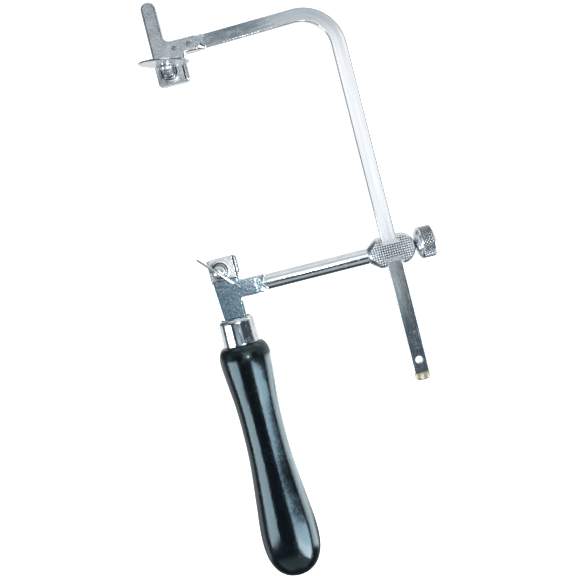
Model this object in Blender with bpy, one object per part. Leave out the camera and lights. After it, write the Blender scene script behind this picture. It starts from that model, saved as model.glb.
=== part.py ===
"""Jeweler's saw frame, lying flat with its two wing screws pointing up.

The datum is where the handle's axis (along Y) crosses the lower arm's axis (along X), in the frame's
mid-plane. Every sub-part is placed from that datum, and the datum itself is lifted and shifted so that
the part stands on Z = 0 with its origin under the middle of its outline.
"""

import math

import bmesh
import bpy
from mathutils import Matrix, Vector

GAP = 0.0003  # clearance left between pieces that touch
REACH = 0.002  # how far a cutter runs past the surface it opens
OVERLAP = 0.0002  # how far a cutter runs into the one beside it

# Handle and ferrule, along Y
HANDLE_TOP = -0.0286
HANDLE_BUTT = -0.1523
HANDLE_TOP_RADIUS = 0.0100
HANDLE_SHOULDER = (-0.0362, 0.01365)
HANDLE_WAIST = (
    (-0.0453, 0.01295),
    (-0.0604, 0.0115),
    (-0.0766, 0.0111),
    (-0.0908, 0.0115),
    (-0.111, 0.01335),
)
HANDLE_BULGE = (-0.1315, 0.0151)
BUTT_FULLNESS = 2.5  # above 2 the butt is squarer than an ellipse
NOSE_RADIUS = 0.0082
NOSE_TOP = -0.0172
TANG_RADIUS = 0.0026
TANG_POINT_RADIUS = 0.0008
TANG_TAPER = 0.006
TANG_END = -0.070
FERRULE_TOP = -0.0143
FERRULE_TOP_RADIUS = 0.0093
FERRULE_BASE_RADIUS = 0.0096
FERRULE_SHOULDER = 0.0024
FERRULE_WALL = 0.0009
FERRULE_MOUTH_RADIUS = 0.0077

# Castings
CAST_HALF_THICKNESS = 0.0041
CAST_EDGE = 0.0009
JAW_FACE = 0.0020
JAW_CORNER = 0.0012
PIN_RADIUS = 0.0013

# Lower arm and slider barrel, along X
ARM_RADIUS = 0.00415
ARM_SPIGOT_RADIUS = 0.0026
ARM_SPIGOT_START = 0.0090
ARM_SOCKET_END = 0.0300
ARM_START = 0.0204
ARM_PIN_X = 0.0138
BARREL_START = 0.0759
BARREL_CONE_END = 0.0817
BARREL_NOSE_RADIUS = 0.00435
BARREL_CONE_RADIUS = 0.00785
BARREL_CONE_ROUNDING = 0.0012
BARREL_DOME_START = 0.0936
BARREL_DOME_SWEEP = math.radians(68.0)
BARREL_END = 0.1006
BARREL_RADIUS = 0.00825
BARREL_FLAT = 0.0050
BARREL_TIP_RADIUS = 0.0032
BARREL_SOCKET_DEPTH = 0.0045
SLOT_LEFT = 0.0836
SLOT_RIGHT = 0.0929
SLOT_HALF_THICKNESS = 0.0023
SLOT_LIP_TOP = 0.0047
SLOT_LIP_FOOT = 0.0063

# Spine bar
BAR_HALF_THICKNESS = 0.0020
BAR_EDGE = 0.0005
BEND_STEPS = 12
SPINE_X = 0.0882
SPINE_HALF_WIDTH = 0.0040
SPINE_END = -0.0655
SPINE_HOLE_Y = -0.0592
SPINE_HOLE_RADIUS = 0.0020
UPPER_ARM_HALF_WIDTH = 0.0036
UPPER_ARM_START = (0.0200, 0.1309)
UPPER_ARM_SLOPE = math.radians(1.6)
BEND_RADIUS = 0.0196
TONGUE_START = 0.0010
TONGUE_HALF_WIDTH = 0.0021
TONGUE_HALF_THICKNESS = 0.0014

# Knurled brass screw in the end of the spine
END_SCREW_RADIUS = 0.0041
END_SCREW_LENGTH = 0.0042
END_SCREW_FOOT = ((0.0, 0.00226), (0.0005, 0.0036))
END_SCREW_ROUNDING = 0.0012
END_SCREW_SHANK_RADIUS = 0.0010
END_SCREW_SHANK_LENGTH = 0.0038

# Upper head casting
HORN_LEFT = -0.0086
HORN_RIGHT = -0.0006
HORN_TOP = 0.1573
HEAD_ARM_TOP = 0.1348
HEAD_ARM_BOTTOM = 0.1269
HEAD_ARM_END = 0.0197
UPPER_JAW_BOTTOM = 0.1123
UPPER_RECESS_TOP = 0.1252
UPPER_LIP_LEFT = 0.0062
UPPER_LIP_RIGHT = 0.0081
UPPER_PINS = ((0.0038, 0.1302), (0.0115, 0.1307))

# Lower head casting
STEM_BOTTOM = -0.0168
STEM_LEFT = -0.0062
STEM_RIGHT = 0.0063
LOWER_JAW_LEFT = -0.0075
LOWER_JAW_TOP = 0.0183
LOWER_RECESS_BOTTOM = 0.0062
LOWER_LIP_LEFT = 0.0069
LOWER_LIP_RIGHT = 0.0083
LOWER_LIP_BOTTOM = 0.0080
BOSS_HALF_WIDTH = 0.0047
BOSS_END = 0.0201

# Blade clamps: plate, washer and wing screw, along Z
PLATE_THICKNESS = 0.0022
UPPER_CLAMP_AXIS = (-0.0018, 0.1186)
LOWER_CLAMP_AXIS = (-0.0015, 0.0118)
UPPER_PLATE = (-0.0086, 0.0056, 0.1125, 0.1249)
LOWER_PLATE = (-0.0075, 0.0063, 0.0066, 0.0182)
PLATE_CORNER = 0.0006
PLATE_EDGE = 0.0003
WASHER_RADIUS = 0.0054
WASHER_THICKNESS = 0.0013
WASHER_EDGE = 0.0004
WASHER_RIM = 0.0011
WASHER_DISH = 0.0004
SHANK_RADIUS = 0.0024
SHANK_HOLE_RADIUS = 0.0028
SHANK_END = -0.0032
SHANK_POINT = 0.0005
NECK_RADIUS = 0.0029
NECK_HEIGHT = 0.0190
NECK_END_ROUNDING = 0.0013
WING_RADIUS = 0.0127
WING_HALF_THICKNESS = 0.0005
WING_RIM = 0.0003
WING_CENTRE_HEIGHT = 0.0235
UPPER_WING_TURN = math.radians(-9.7)
LOWER_WING_TURN = math.radians(-46.0)
UPPER_WING_LEAN = math.radians(3.0)
LOWER_WING_LEAN = math.radians(-1.5)

# Clamp screw that locks the spine in the slider
STUD_RADIUS = 0.0020
STUD_POINT = 0.0004
STUD_HOLE_RADIUS = 0.0024
PAD_RADIUS = 0.0021
PAD_THICKNESS = 0.0016
KNOB_START = 0.1012
KNOB_END = 0.1123
KNOB_BEVEL = ((0.0, 0.0034), (0.0009, 0.0064), (0.0018, 0.0079), (0.0030, 0.00845))
KNOB_DOME = ((0.0022, 0.00845), (0.0014, 0.00745), (0.0005, 0.00505), (0.0, 0.0024))
KNOB_BORE_DEPTH = 0.0060

ROUND_SEGMENTS = 32
MEDIUM_SEGMENTS = 24
SMALL_SEGMENTS = 16


# ---------------------------------------------------------------- scene and materials

def clear_scene():
    for scene_object in list(bpy.data.objects):
        bpy.data.objects.remove(scene_object)


def metal(name, colour, roughness, metallic=1.0):
    material = bpy.data.materials.new(name)
    material.use_nodes = True
    shader = material.node_tree.nodes["Principled BSDF"]
    shader.inputs["Base Color"].default_value = (*colour, 1.0)
    shader.inputs["Roughness"].default_value = roughness
    shader.inputs["Metallic"].default_value = metallic
    return material


def make_materials():
    return {
        "casting": metal("plated_casting", (0.52, 0.55, 0.58), 0.34),
        "steel": metal("plated_steel", (0.72, 0.74, 0.76), 0.18),
        "chrome": metal("polished_chrome", (0.80, 0.82, 0.84), 0.08),
        "brass": metal("knurled_brass", (0.80, 0.62, 0.34), 0.30),
        "pin": metal("pin_steel", (0.45, 0.47, 0.50), 0.30),
        "lacquer": metal("black_lacquered_wood", (0.012, 0.015, 0.018), 0.16, 0.0),
    }


def add_frame(name, parent, location, turn=0.0):
    frame = bpy.data.objects.new(name, None)
    frame.empty_display_size = 0.01
    frame.location = location
    frame.rotation_euler = (0.0, 0.0, turn)
    frame.parent = parent
    bpy.context.collection.objects.link(frame)
    return frame


def add_object(name, bm, parent, material=None, location=(0, 0, 0), rotation=(0, 0, 0)):
    bmesh.ops.recalc_face_normals(bm, faces=bm.faces)
    mesh = bpy.data.meshes.new(name)
    bm.to_mesh(mesh)
    bm.free()
    mesh.shade_smooth()
    mesh.set_sharp_from_angle(angle=math.radians(35.0))
    made = bpy.data.objects.new(name, mesh)
    made.location = location
    made.rotation_euler = rotation
    made.parent = parent
    if material is not None:
        mesh.materials.append(material)
    bpy.context.collection.objects.link(made)
    return made


def combine(target, tool, operation):
    tool.hide_render = True
    tool.display_type = "WIRE"
    boolean = target.modifiers.new(tool.name, "BOOLEAN")
    boolean.operation = operation
    boolean.object = tool


def cut(target, cutter):
    combine(target, cutter, "DIFFERENCE")


def fuse(target, addition):
    combine(target, addition, "UNION")


# ---------------------------------------------------------------- shapes

AXIS_TURNS = {
    "X": Matrix.Rotation(math.radians(90.0), 4, "Y"),
    "Y": Matrix.Rotation(math.radians(-90.0), 4, "X"),
    "Z": Matrix.Identity(4),
}


def arc(centre, radius, start, end, steps):
    """Points on a circle from start to end, in degrees, both ends included."""
    angles = [math.radians(start + (end - start) * i / steps) for i in range(steps + 1)]
    return [(centre[0] + radius * math.cos(a), centre[1] + radius * math.sin(a)) for a in angles]


def turned(profile, axis, segments=ROUND_SEGMENTS, hollow=False):
    """A solid of revolution from (distance along the axis, radius); a hollow one's profile is a closed loop."""
    bm = bmesh.new()
    rings = []
    for along, radius in profile:
        if radius < 1e-7:
            rings.append([bm.verts.new((0.0, 0.0, along))])
            continue
        turns = [2.0 * math.pi * i / segments for i in range(segments)]
        rings.append([bm.verts.new((radius * math.cos(t), radius * math.sin(t), along)) for t in turns])
    pairs = list(zip(rings, rings[1:]))
    if hollow:
        pairs.append((rings[-1], rings[0]))
    for lower, upper in pairs:
        join_rings(bm, lower, upper, segments)
    if not hollow:
        for ring in (rings[0], rings[-1]):
            if len(ring) > 1:
                bm.faces.new(ring)
    bm.transform(AXIS_TURNS[axis])
    return bm


def join_rings(bm, lower, upper, segments):
    for i in range(segments):
        j = (i + 1) % segments
        around = (lower[i % len(lower)], lower[j % len(lower)], upper[j % len(upper)], upper[i % len(upper)])
        corners = []
        for vertex in around:
            if vertex not in corners:
                corners.append(vertex)
        bm.faces.new(corners)


def rounded_outline(corners, steps=4):
    """Corner points (x, y, radius) become an outline whose corners are arcs."""
    outline = []
    for i, (x, y, radius) in enumerate(corners):
        corner = Vector((x, y))
        if radius <= 0.0:
            outline.append((x, y))
            continue
        before = (Vector(corners[i - 1][:2]) - corner).normalized()
        after = (Vector(corners[(i + 1) % len(corners)][:2]) - corner).normalized()
        half = before.angle(after) / 2.0
        centre = corner + (before + after).normalized() * radius / math.sin(half)
        first = corner + before * radius / math.tan(half) - centre
        last = corner + after * radius / math.tan(half) - centre
        start = math.atan2(first.y, first.x)
        sweep = math.remainder(math.atan2(last.y, last.x) - start, 2.0 * math.pi)
        for k in range(steps + 1):
            turn = start + sweep * k / steps
            outline.append((centre.x + radius * math.cos(turn), centre.y + radius * math.sin(turn)))
    return outline


def extruded(outline, low, high, edge=0.0, segments=2):
    """A flat outline in XY between two heights, with its rims rounded."""
    bm = bmesh.new()
    floor = bm.faces.new([bm.verts.new((x, y, low)) for x, y in outline])
    grown = bmesh.ops.extrude_face_region(bm, geom=[floor])["geom"]
    moved = [item for item in grown if isinstance(item, bmesh.types.BMVert)]
    bmesh.ops.translate(bm, verts=moved, vec=(0.0, 0.0, high - low))
    if edge > 0.0:
        rims = [e for e in bm.edges if abs(e.verts[0].co.z - e.verts[1].co.z) < 1e-9]
        bmesh.ops.bevel(bm, geom=rims, offset=edge, segments=segments, profile=0.5, affect="EDGES")
    bmesh.ops.triangulate(bm, faces=[f for f in bm.faces if len(f.verts) > 4])
    return bm


def block(x_range, y_range, z_range):
    bm = bmesh.new()
    bmesh.ops.create_cube(bm, size=1.0)
    size = [high - low for low, high in (x_range, y_range, z_range)]
    middle = [(high + low) / 2.0 for low, high in (x_range, y_range, z_range)]
    bmesh.ops.scale(bm, vec=size, verts=bm.verts)
    bmesh.ops.translate(bm, vec=middle, verts=bm.verts)
    return bm


def hole(name, parent, radius, place, segments=SMALL_SEGMENTS):
    """A cutter along Z, long enough to pass through any piece."""
    depth = 2.0 * CAST_HALF_THICKNESS
    return add_object(name, turned([(-depth, radius), (depth, radius)], "Z", segments), parent, location=place)


# ---------------------------------------------------------------- handle side

def smooth_run(points, steps):
    """A cubic run through (y, radius) points that starts and ends level."""
    slopes = [0.0]
    for before, after in zip(points, points[2:]):
        slopes.append((after[1] - before[1]) / (after[0] - before[0]))
    slopes.append(0.0)
    run = [points[0]]
    for i in range(len(points) - 1):
        (y0, r0), (y1, r1) = points[i], points[i + 1]
        span = y1 - y0
        for k in range(1, steps + 1):
            t = k / steps
            rise = (2 * t**3 - 3 * t**2 + 1) * r0 + (3 * t**2 - 2 * t**3) * r1
            lean = (t**3 - 2 * t**2 + t) * slopes[i] * span + (t**3 - t**2) * slopes[i + 1] * span
            run.append((y0 + span * t, rise + lean))
    return run


def handle_profile():
    bore = TANG_RADIUS + GAP
    bore_end = TANG_END - REACH
    shoulder_y, shoulder_radius = HANDLE_SHOULDER
    bulge_y, bulge_radius = HANDLE_BULGE
    profile = [(bore_end, 0.0), (bore_end, bore), (NOSE_TOP, bore)]
    profile += [(NOSE_TOP, NOSE_RADIUS), (HANDLE_TOP, NOSE_RADIUS)]
    for k in range(5):
        turn = math.radians(90.0 * k / 5)
        y = shoulder_y + (HANDLE_TOP - shoulder_y) * math.cos(turn)
        profile.append((y, HANDLE_TOP_RADIUS + (shoulder_radius - HANDLE_TOP_RADIUS) * math.sin(turn)))
    profile += smooth_run([HANDLE_SHOULDER, *HANDLE_WAIST, HANDLE_BULGE], 2)
    for k in range(1, 7):
        turn = math.radians(90.0 * k / 7)
        along = math.sin(turn) ** (2.0 / BUTT_FULLNESS)
        across = math.cos(turn) ** (2.0 / BUTT_FULLNESS)
        profile.append((bulge_y + (HANDLE_BUTT - bulge_y) * along, bulge_radius * across))
    profile.append((HANDLE_BUTT, 0.0))
    return profile


def build_handle(parent, materials):
    add_object("handle", turned(handle_profile(), "Y"), parent, materials["lacquer"])


def build_ferrule(parent, materials):
    base = HANDLE_TOP + GAP
    centre = (FERRULE_TOP - FERRULE_SHOULDER, FERRULE_TOP_RADIUS - FERRULE_SHOULDER)
    outside = [(base, FERRULE_BASE_RADIUS)] + arc(centre, FERRULE_SHOULDER, 90.0, 0.0, 4)
    outside += [(FERRULE_TOP, FERRULE_MOUTH_RADIUS)]
    inner_top = FERRULE_TOP - FERRULE_WALL
    inner_shoulder = FERRULE_SHOULDER - FERRULE_WALL
    inside = [(inner_top, FERRULE_MOUTH_RADIUS)]
    inside += [(inner_top - inner_shoulder, FERRULE_TOP_RADIUS - FERRULE_WALL)]
    inside += [(base, FERRULE_BASE_RADIUS - FERRULE_WALL)]
    outside = [point for point in outside if point[1] > FERRULE_MOUTH_RADIUS - 1e-6]
    add_object("ferrule", turned(outside + inside, "Y", hollow=True), parent, materials["chrome"])


def lower_head_outline():
    top = LOWER_JAW_TOP
    return rounded_outline([
        (STEM_LEFT, STEM_BOTTOM, 0.0),
        (STEM_RIGHT, STEM_BOTTOM, 0.0),
        (STEM_RIGHT, -BOSS_HALF_WIDTH, 0.0015),
        (BOSS_END, -BOSS_HALF_WIDTH, 0.0042),
        (BOSS_END, BOSS_HALF_WIDTH, 0.0042),
        (LOWER_LIP_LEFT, BOSS_HALF_WIDTH, 0.0006),
        (LOWER_LIP_LEFT, LOWER_LIP_BOTTOM, 0.0),
        (LOWER_LIP_RIGHT, LOWER_LIP_BOTTOM, 0.0),
        (LOWER_LIP_RIGHT, top, JAW_CORNER),
        (LOWER_JAW_LEFT, top, JAW_CORNER),
        (LOWER_JAW_LEFT, LOWER_RECESS_BOTTOM, 0.0012),
    ])


def build_lower_head(parent, materials):
    half = CAST_HALF_THICKNESS
    body = extruded(lower_head_outline(), -half, half, CAST_EDGE)
    head = add_object("lower_head", body, parent, materials["casting"])
    recess = block(
        (LOWER_JAW_LEFT - REACH, LOWER_LIP_LEFT - OVERLAP),
        (LOWER_RECESS_BOTTOM, LOWER_JAW_TOP + REACH),
        (JAW_FACE, half + REACH),
    )
    cut(head, add_object("lower_jaw_recess", recess, parent))
    cut(head, hole("lower_tapped_hole", parent, SHANK_HOLE_RADIUS, (*LOWER_CLAMP_AXIS, 0.0)))
    bore = ARM_SPIGOT_RADIUS + GAP
    socket = turned([(ARM_SPIGOT_START - GAP, bore), (ARM_SOCKET_END, bore)], "X", MEDIUM_SEGMENTS)
    cut(head, add_object("lower_arm_socket", socket, parent))
    cut(head, hole("lower_pin_hole", parent, PIN_RADIUS + GAP, (ARM_PIN_X, 0.0, 0.0)))
    tang = [(STEM_BOTTOM + REACH, TANG_RADIUS), (TANG_END + TANG_TAPER, TANG_RADIUS)]
    tang += [(TANG_END, TANG_POINT_RADIUS)]
    fuse(head, add_object("tang", turned(tang, "Y", SMALL_SEGMENTS), parent))


def build_lower_arm(parent, materials):
    spigot = ARM_SPIGOT_RADIUS
    shoulder = BARREL_START - GAP
    end = BARREL_START + BARREL_SOCKET_DEPTH
    profile = [(ARM_SPIGOT_START, 0.0), (ARM_SPIGOT_START, spigot), (ARM_START, spigot)]
    profile += [(ARM_START, ARM_RADIUS), (shoulder, ARM_RADIUS), (shoulder, spigot), (end, spigot), (end, 0.0)]
    rod = add_object("lower_arm_rod", turned(profile, "X", MEDIUM_SEGMENTS), parent, materials["steel"])
    cut(rod, hole("rod_pin_hole", parent, PIN_RADIUS + GAP, (ARM_PIN_X, 0.0, 0.0)))
    build_pin("lower_arm_pin", (ARM_PIN_X, 0.0), parent, materials)


def build_pin(name, place, parent, materials):
    half = CAST_HALF_THICKNESS
    profile = [(-half, 0.0), (-half, PIN_RADIUS), (half, PIN_RADIUS), (half, 0.0)]
    add_object(name, turned(profile, "Z", SMALL_SEGMENTS), parent, materials["pin"], location=(*place, 0.0))


def barrel_profile():
    dome_length = BARREL_END - BARREL_DOME_START
    sweep = BARREL_DOME_SWEEP
    profile = [(BARREL_START, 0.0), (BARREL_START, BARREL_NOSE_RADIUS)]
    profile += [(BARREL_CONE_END - BARREL_CONE_ROUNDING, BARREL_CONE_RADIUS), (BARREL_CONE_END, BARREL_RADIUS)]
    for k in range(7):
        turn = sweep * k / 6
        along = BARREL_DOME_START + dome_length * math.sin(turn) / math.sin(sweep)
        drop = (1.0 - math.cos(turn)) / (1.0 - math.cos(sweep))
        profile.append((along, BARREL_RADIUS + (BARREL_TIP_RADIUS - BARREL_RADIUS) * drop))
    profile.append((BARREL_END, 0.0))
    return profile


def slot_mouth_cutter(side_y, side_z):
    """A wedge that opens the slot's mouth, deeper towards the bar."""
    low, high = SLOT_HALF_THICKNESS - OVERLAP, BARREL_FLAT + REACH / 2.0
    far = BARREL_RADIUS + REACH
    slope = (SLOT_LIP_TOP - SLOT_LIP_FOOT) / (BARREL_FLAT - SLOT_HALF_THICKNESS)
    near_low = SLOT_LIP_FOOT + slope * (low - SLOT_HALF_THICKNESS)
    near_high = SLOT_LIP_FOOT + slope * (high - SLOT_HALF_THICKNESS)
    section = [(near_low, low), (far, low), (far, high), (near_high, high)]
    bm = bmesh.new()
    start = bm.faces.new([bm.verts.new((SLOT_LEFT, y * side_y, z * side_z)) for y, z in section])
    grown = bmesh.ops.extrude_face_region(bm, geom=[start])["geom"]
    moved = [item for item in grown if isinstance(item, bmesh.types.BMVert)]
    bmesh.ops.translate(bm, verts=moved, vec=(SLOT_RIGHT - SLOT_LEFT, 0.0, 0.0))
    return bm


def build_barrel(parent, materials):
    barrel = add_object("slider_barrel", turned(barrel_profile(), "X"), parent, materials["steel"])
    far = BARREL_RADIUS + REACH
    length = (BARREL_START - REACH, BARREL_END + REACH)
    for name, z_range in (("front", (BARREL_FLAT, far)), ("back", (-far, -BARREL_FLAT))):
        cut(barrel, add_object(f"barrel_flat_{name}", block(length, (-far, far), z_range), parent))
    slot = block((SLOT_LEFT, SLOT_RIGHT), (-far, far), (-SLOT_HALF_THICKNESS, SLOT_HALF_THICKNESS))
    cut(barrel, add_object("barrel_slot", slot, parent))
    for side_y in (-1, 1):
        for side_z in (-1, 1):
            name = f"slot_mouth_{'low' if side_y < 0 else 'high'}_{'back' if side_z < 0 else 'front'}"
            cut(barrel, add_object(name, slot_mouth_cutter(side_y, side_z), parent))
    socket_end = BARREL_START + BARREL_SOCKET_DEPTH + GAP
    for name, start, end, radius, segments in (
        ("barrel_socket", BARREL_START - REACH, socket_end, ARM_SPIGOT_RADIUS + GAP, MEDIUM_SEGMENTS),
        ("barrel_screw_hole", SLOT_RIGHT - REACH / 2.0, BARREL_END + REACH, STUD_HOLE_RADIUS, SMALL_SEGMENTS),
    ):
        cut(barrel, add_object(name, turned([(start, radius), (end, radius)], "X", segments), parent))


# ---------------------------------------------------------------- bow side

def bend_centre():
    """Where the bend's centre lies, level with where the bar has come down to the spine's line."""
    slope = UPPER_ARM_SLOPE
    x0, y0 = UPPER_ARM_START
    centre_x = SPINE_X - BEND_RADIUS
    rise = (centre_x - BEND_RADIUS * math.sin(slope) - x0) * math.tan(slope)
    return centre_x, y0 + rise - BEND_RADIUS * math.cos(slope)


def spine_outline():
    """The bar's outline: out along one side, back along the other, its width growing through the bend."""
    slope = UPPER_ARM_SLOPE
    centre = bend_centre()
    outer, inner = [], []
    for k in range(BEND_STEPS + 1):
        t = k / BEND_STEPS
        turn = math.pi / 2.0 + slope - t * (math.pi / 2.0 + slope)
        half = UPPER_ARM_HALF_WIDTH + (SPINE_HALF_WIDTH - UPPER_ARM_HALF_WIDTH) * t
        for side, run in ((1.0, outer), (-1.0, inner)):
            radius = BEND_RADIUS + side * half
            run.append((centre[0] + radius * math.cos(turn), centre[1] + radius * math.sin(turn)))
    normal = (-math.sin(slope), math.cos(slope))
    x0, y0 = UPPER_ARM_START
    half = UPPER_ARM_HALF_WIDTH
    arm_top = (x0 + normal[0] * half, y0 + normal[1] * half)
    arm_bottom = (x0 - normal[0] * half, y0 - normal[1] * half)
    end = [(SPINE_X + SPINE_HALF_WIDTH, SPINE_END), (SPINE_X - SPINE_HALF_WIDTH, SPINE_END)]
    return [arm_top] + outer + end + inner[::-1] + [arm_bottom]


def build_spine(parent, materials):
    body = extruded(spine_outline(), -BAR_HALF_THICKNESS, BAR_HALF_THICKNESS, BAR_EDGE, 1)
    spine = add_object("spine_bar", body, parent, materials["steel"])
    x0, y0 = UPPER_ARM_START
    width, thickness = TONGUE_HALF_WIDTH, TONGUE_HALF_THICKNESS
    tongue = block((TONGUE_START - x0, REACH), (-width, width), (-thickness, thickness))
    tilt = (0.0, 0.0, UPPER_ARM_SLOPE)
    fuse(spine, add_object("spine_tongue", tongue, parent, location=(x0, y0, 0.0), rotation=tilt))
    for i, place in enumerate(UPPER_PINS):
        cut(spine, hole(f"tongue_pin_hole_{i + 1}", parent, PIN_RADIUS + GAP, (*place, 0.0)))
    cut(spine, hole("spine_hole", parent, SPINE_HOLE_RADIUS, (SPINE_X, SPINE_HOLE_Y, 0.0), MEDIUM_SEGMENTS))
    depth = END_SCREW_SHANK_LENGTH + 2.0 * GAP
    bore = END_SCREW_SHANK_RADIUS + GAP
    thread_hole = turned([(-REACH, bore), (depth, bore)], "Y", SMALL_SEGMENTS)
    cut(spine, add_object("end_screw_hole", thread_hole, parent, location=(SPINE_X, SPINE_END, 0.0)))


def build_end_screw(parent, materials):
    radius, length = END_SCREW_RADIUS, END_SCREW_LENGTH
    shank, reach = END_SCREW_SHANK_RADIUS, END_SCREW_SHANK_LENGTH
    profile = [(-length, 0.0)] + [(along - length, across) for along, across in END_SCREW_FOOT]
    profile += [(END_SCREW_ROUNDING - length, radius), (-GAP, radius), (0.0, radius - GAP)]
    profile += [(0.0, shank), (reach, shank), (reach, 0.0)]
    screw = turned(profile, "Y", MEDIUM_SEGMENTS)
    add_object("spine_end_screw", screw, parent, materials["brass"], location=(SPINE_X, SPINE_END - GAP, 0.0))


def upper_head_outline():
    return rounded_outline([
        (HORN_LEFT, UPPER_JAW_BOTTOM, JAW_CORNER),
        (UPPER_LIP_RIGHT, UPPER_JAW_BOTTOM, JAW_CORNER),
        (UPPER_LIP_RIGHT, HEAD_ARM_BOTTOM, 0.0020),
        (HEAD_ARM_END, HEAD_ARM_BOTTOM, 0.0036),
        (HEAD_ARM_END, HEAD_ARM_TOP, 0.0036),
        (HORN_RIGHT, HEAD_ARM_TOP, 0.0032),
        (HORN_RIGHT, HORN_TOP, 0.0038),
        (HORN_LEFT, HORN_TOP, 0.0038),
    ])


def build_upper_head(parent, materials):
    half = CAST_HALF_THICKNESS
    body = extruded(upper_head_outline(), -half, half, CAST_EDGE)
    head = add_object("upper_head", body, parent, materials["casting"])
    recess = block(
        (HORN_LEFT - REACH, UPPER_LIP_LEFT - OVERLAP),
        (UPPER_JAW_BOTTOM - REACH, UPPER_RECESS_TOP),
        (JAW_FACE, half + REACH),
    )
    cut(head, add_object("upper_jaw_recess", recess, parent))
    cut(head, hole("upper_tapped_hole", parent, SHANK_HOLE_RADIUS, (*UPPER_CLAMP_AXIS, 0.0)))
    x0, y0 = UPPER_ARM_START
    width, thickness = TONGUE_HALF_WIDTH + GAP, TONGUE_HALF_THICKNESS + GAP
    socket = block((TONGUE_START - x0 - GAP, REACH), (-width, width), (-thickness, thickness))
    tilt = (0.0, 0.0, UPPER_ARM_SLOPE)
    cut(head, add_object("tongue_socket", socket, parent, location=(x0, y0, 0.0), rotation=tilt))
    for i, place in enumerate(UPPER_PINS):
        cut(head, hole(f"head_pin_hole_{i + 1}", parent, PIN_RADIUS + GAP, (*place, 0.0)))
        build_pin(f"upper_head_pin_{i + 1}", place, parent, materials)


# ---------------------------------------------------------------- blade clamps

def build_clamp(side, axis, plate_box, wing_turn, wing_lean, parent, materials):
    """One blade clamp: the plate and its washer slide on the screw's axis, and the wing screw turns in them."""
    slide = add_frame(f"{side}_clamp_frame", parent, (*axis, 0.0))
    left, right, bottom, top = plate_box
    low = JAW_FACE + GAP
    high = low + PLATE_THICKNESS
    corners = [(left, bottom), (right, bottom), (right, top), (left, top)]
    outline = rounded_outline([(x - axis[0], y - axis[1], PLATE_CORNER) for x, y in corners], 2)
    body = extruded(outline, low, high, PLATE_EDGE, 1)
    plate = add_object(f"{side}_clamp_plate", body, slide, materials["steel"])
    cut(plate, hole(f"{side}_plate_hole", slide, SHANK_HOLE_RADIUS, (0.0, 0.0, 0.0)))
    washer_low = high + GAP
    washer_high = washer_low + WASHER_THICKNESS
    build_washer(side, washer_low, washer_high, slide, materials)
    turn = add_frame(f"{side}_screw_frame", slide, (0.0, 0.0, 0.0), wing_turn)
    build_wing_screw(side, high, washer_high + GAP, wing_lean, turn, materials)


def build_washer(side, low, high, parent, materials):
    outer, inner, edge = WASHER_RADIUS, SHANK_HOLE_RADIUS, WASHER_EDGE
    dish = high - WASHER_DISH
    section = [(low, inner), (low, outer - edge), (low + edge, outer), (high - edge, outer)]
    section += [(high, outer - edge), (high, outer - WASHER_RIM), (dish, outer - WASHER_RIM - edge), (dish, inner)]
    washer = turned(section, "Z", MEDIUM_SEGMENTS, hollow=True)
    add_object(f"{side}_clamp_washer", washer, parent, materials["steel"])


def build_wing_screw(side, plate_top, neck_foot, wing_lean, parent, materials):
    neck_top = plate_top + NECK_HEIGHT
    rounding = NECK_END_ROUNDING
    centre = (neck_top - rounding, NECK_RADIUS - rounding)
    profile = [(SHANK_END, 0.0), (SHANK_END, SHANK_RADIUS - SHANK_POINT)]
    profile += [(SHANK_END + SHANK_POINT, SHANK_RADIUS)]
    profile += [(neck_foot, SHANK_RADIUS), (neck_foot, NECK_RADIUS)] + arc(centre, rounding, 90.0, 0.0, 3)
    profile += [(neck_top, 0.0)]
    screw = add_object(f"{side}_clamp_screw", turned(profile, "Z", 20), parent, materials["steel"])
    middle = (0.0, 0.0, plate_top + WING_CENTRE_HEIGHT)
    lean = (wing_lean, 0.0, 0.0)
    slot_half = WING_HALF_THICKNESS + GAP
    slot = block((-2.0 * NECK_RADIUS, 2.0 * NECK_RADIUS), (-slot_half, slot_half), (-WING_RADIUS - GAP, 0.0))
    cut(screw, add_object(f"{side}_wing_slot", slot, parent, location=middle, rotation=lean))
    half, rim = WING_HALF_THICKNESS, WING_RIM
    disc = [(-half, 0.0), (-half, WING_RADIUS - rim), (-half + rim, WING_RADIUS)]
    disc += [(half - rim, WING_RADIUS), (half, WING_RADIUS - rim), (half, 0.0)]
    wing = turned(disc, "Y", 40)
    add_object(f"{side}_wing_disc", wing, parent, materials["steel"], location=middle, rotation=lean)


# ---------------------------------------------------------------- frame clamp screw

def build_frame_clamp(parent, materials):
    """A pad bears on the spine's edge, pushed by a stud that the knurled knob turns."""
    pad_start = SPINE_X + SPINE_HALF_WIDTH + GAP
    slide = add_frame("frame_clamp_frame", parent, (pad_start, 0.0, 0.0))
    pad_profile = [(0.0, 0.0), (0.0, PAD_RADIUS), (PAD_THICKNESS, PAD_RADIUS), (PAD_THICKNESS, 0.0)]
    add_object("clamp_pad", turned(pad_profile, "X", SMALL_SEGMENTS), slide, materials["brass"])
    turn = add_frame("frame_screw_frame", slide, (0.0, 0.0, 0.0))
    stud_start = PAD_THICKNESS + GAP
    bore_end = KNOB_START + KNOB_BORE_DEPTH - pad_start
    stud_end = bore_end - GAP
    stud = [(stud_start, 0.0), (stud_start, STUD_RADIUS - STUD_POINT), (stud_start + STUD_POINT, STUD_RADIUS)]
    stud += [(stud_end, STUD_RADIUS), (stud_end, 0.0)]
    add_object("clamp_stud", turned(stud, "X", SMALL_SEGMENTS), turn, materials["steel"])
    add_object("clamp_knob", turned(knob_profile(pad_start, bore_end), "X"), turn, materials["steel"])


def knob_profile(offset, bore_end):
    start, end = KNOB_START - offset, KNOB_END - offset
    bore = STUD_RADIUS + GAP
    profile = [(bore_end, 0.0), (bore_end, bore), (start, bore)]
    profile += [(start + along, across) for along, across in KNOB_BEVEL]
    profile += [(end - along, across) for along, across in KNOB_DOME]
    return profile + [(end, 0.0)]


# ---------------------------------------------------------------- assembly

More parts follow.
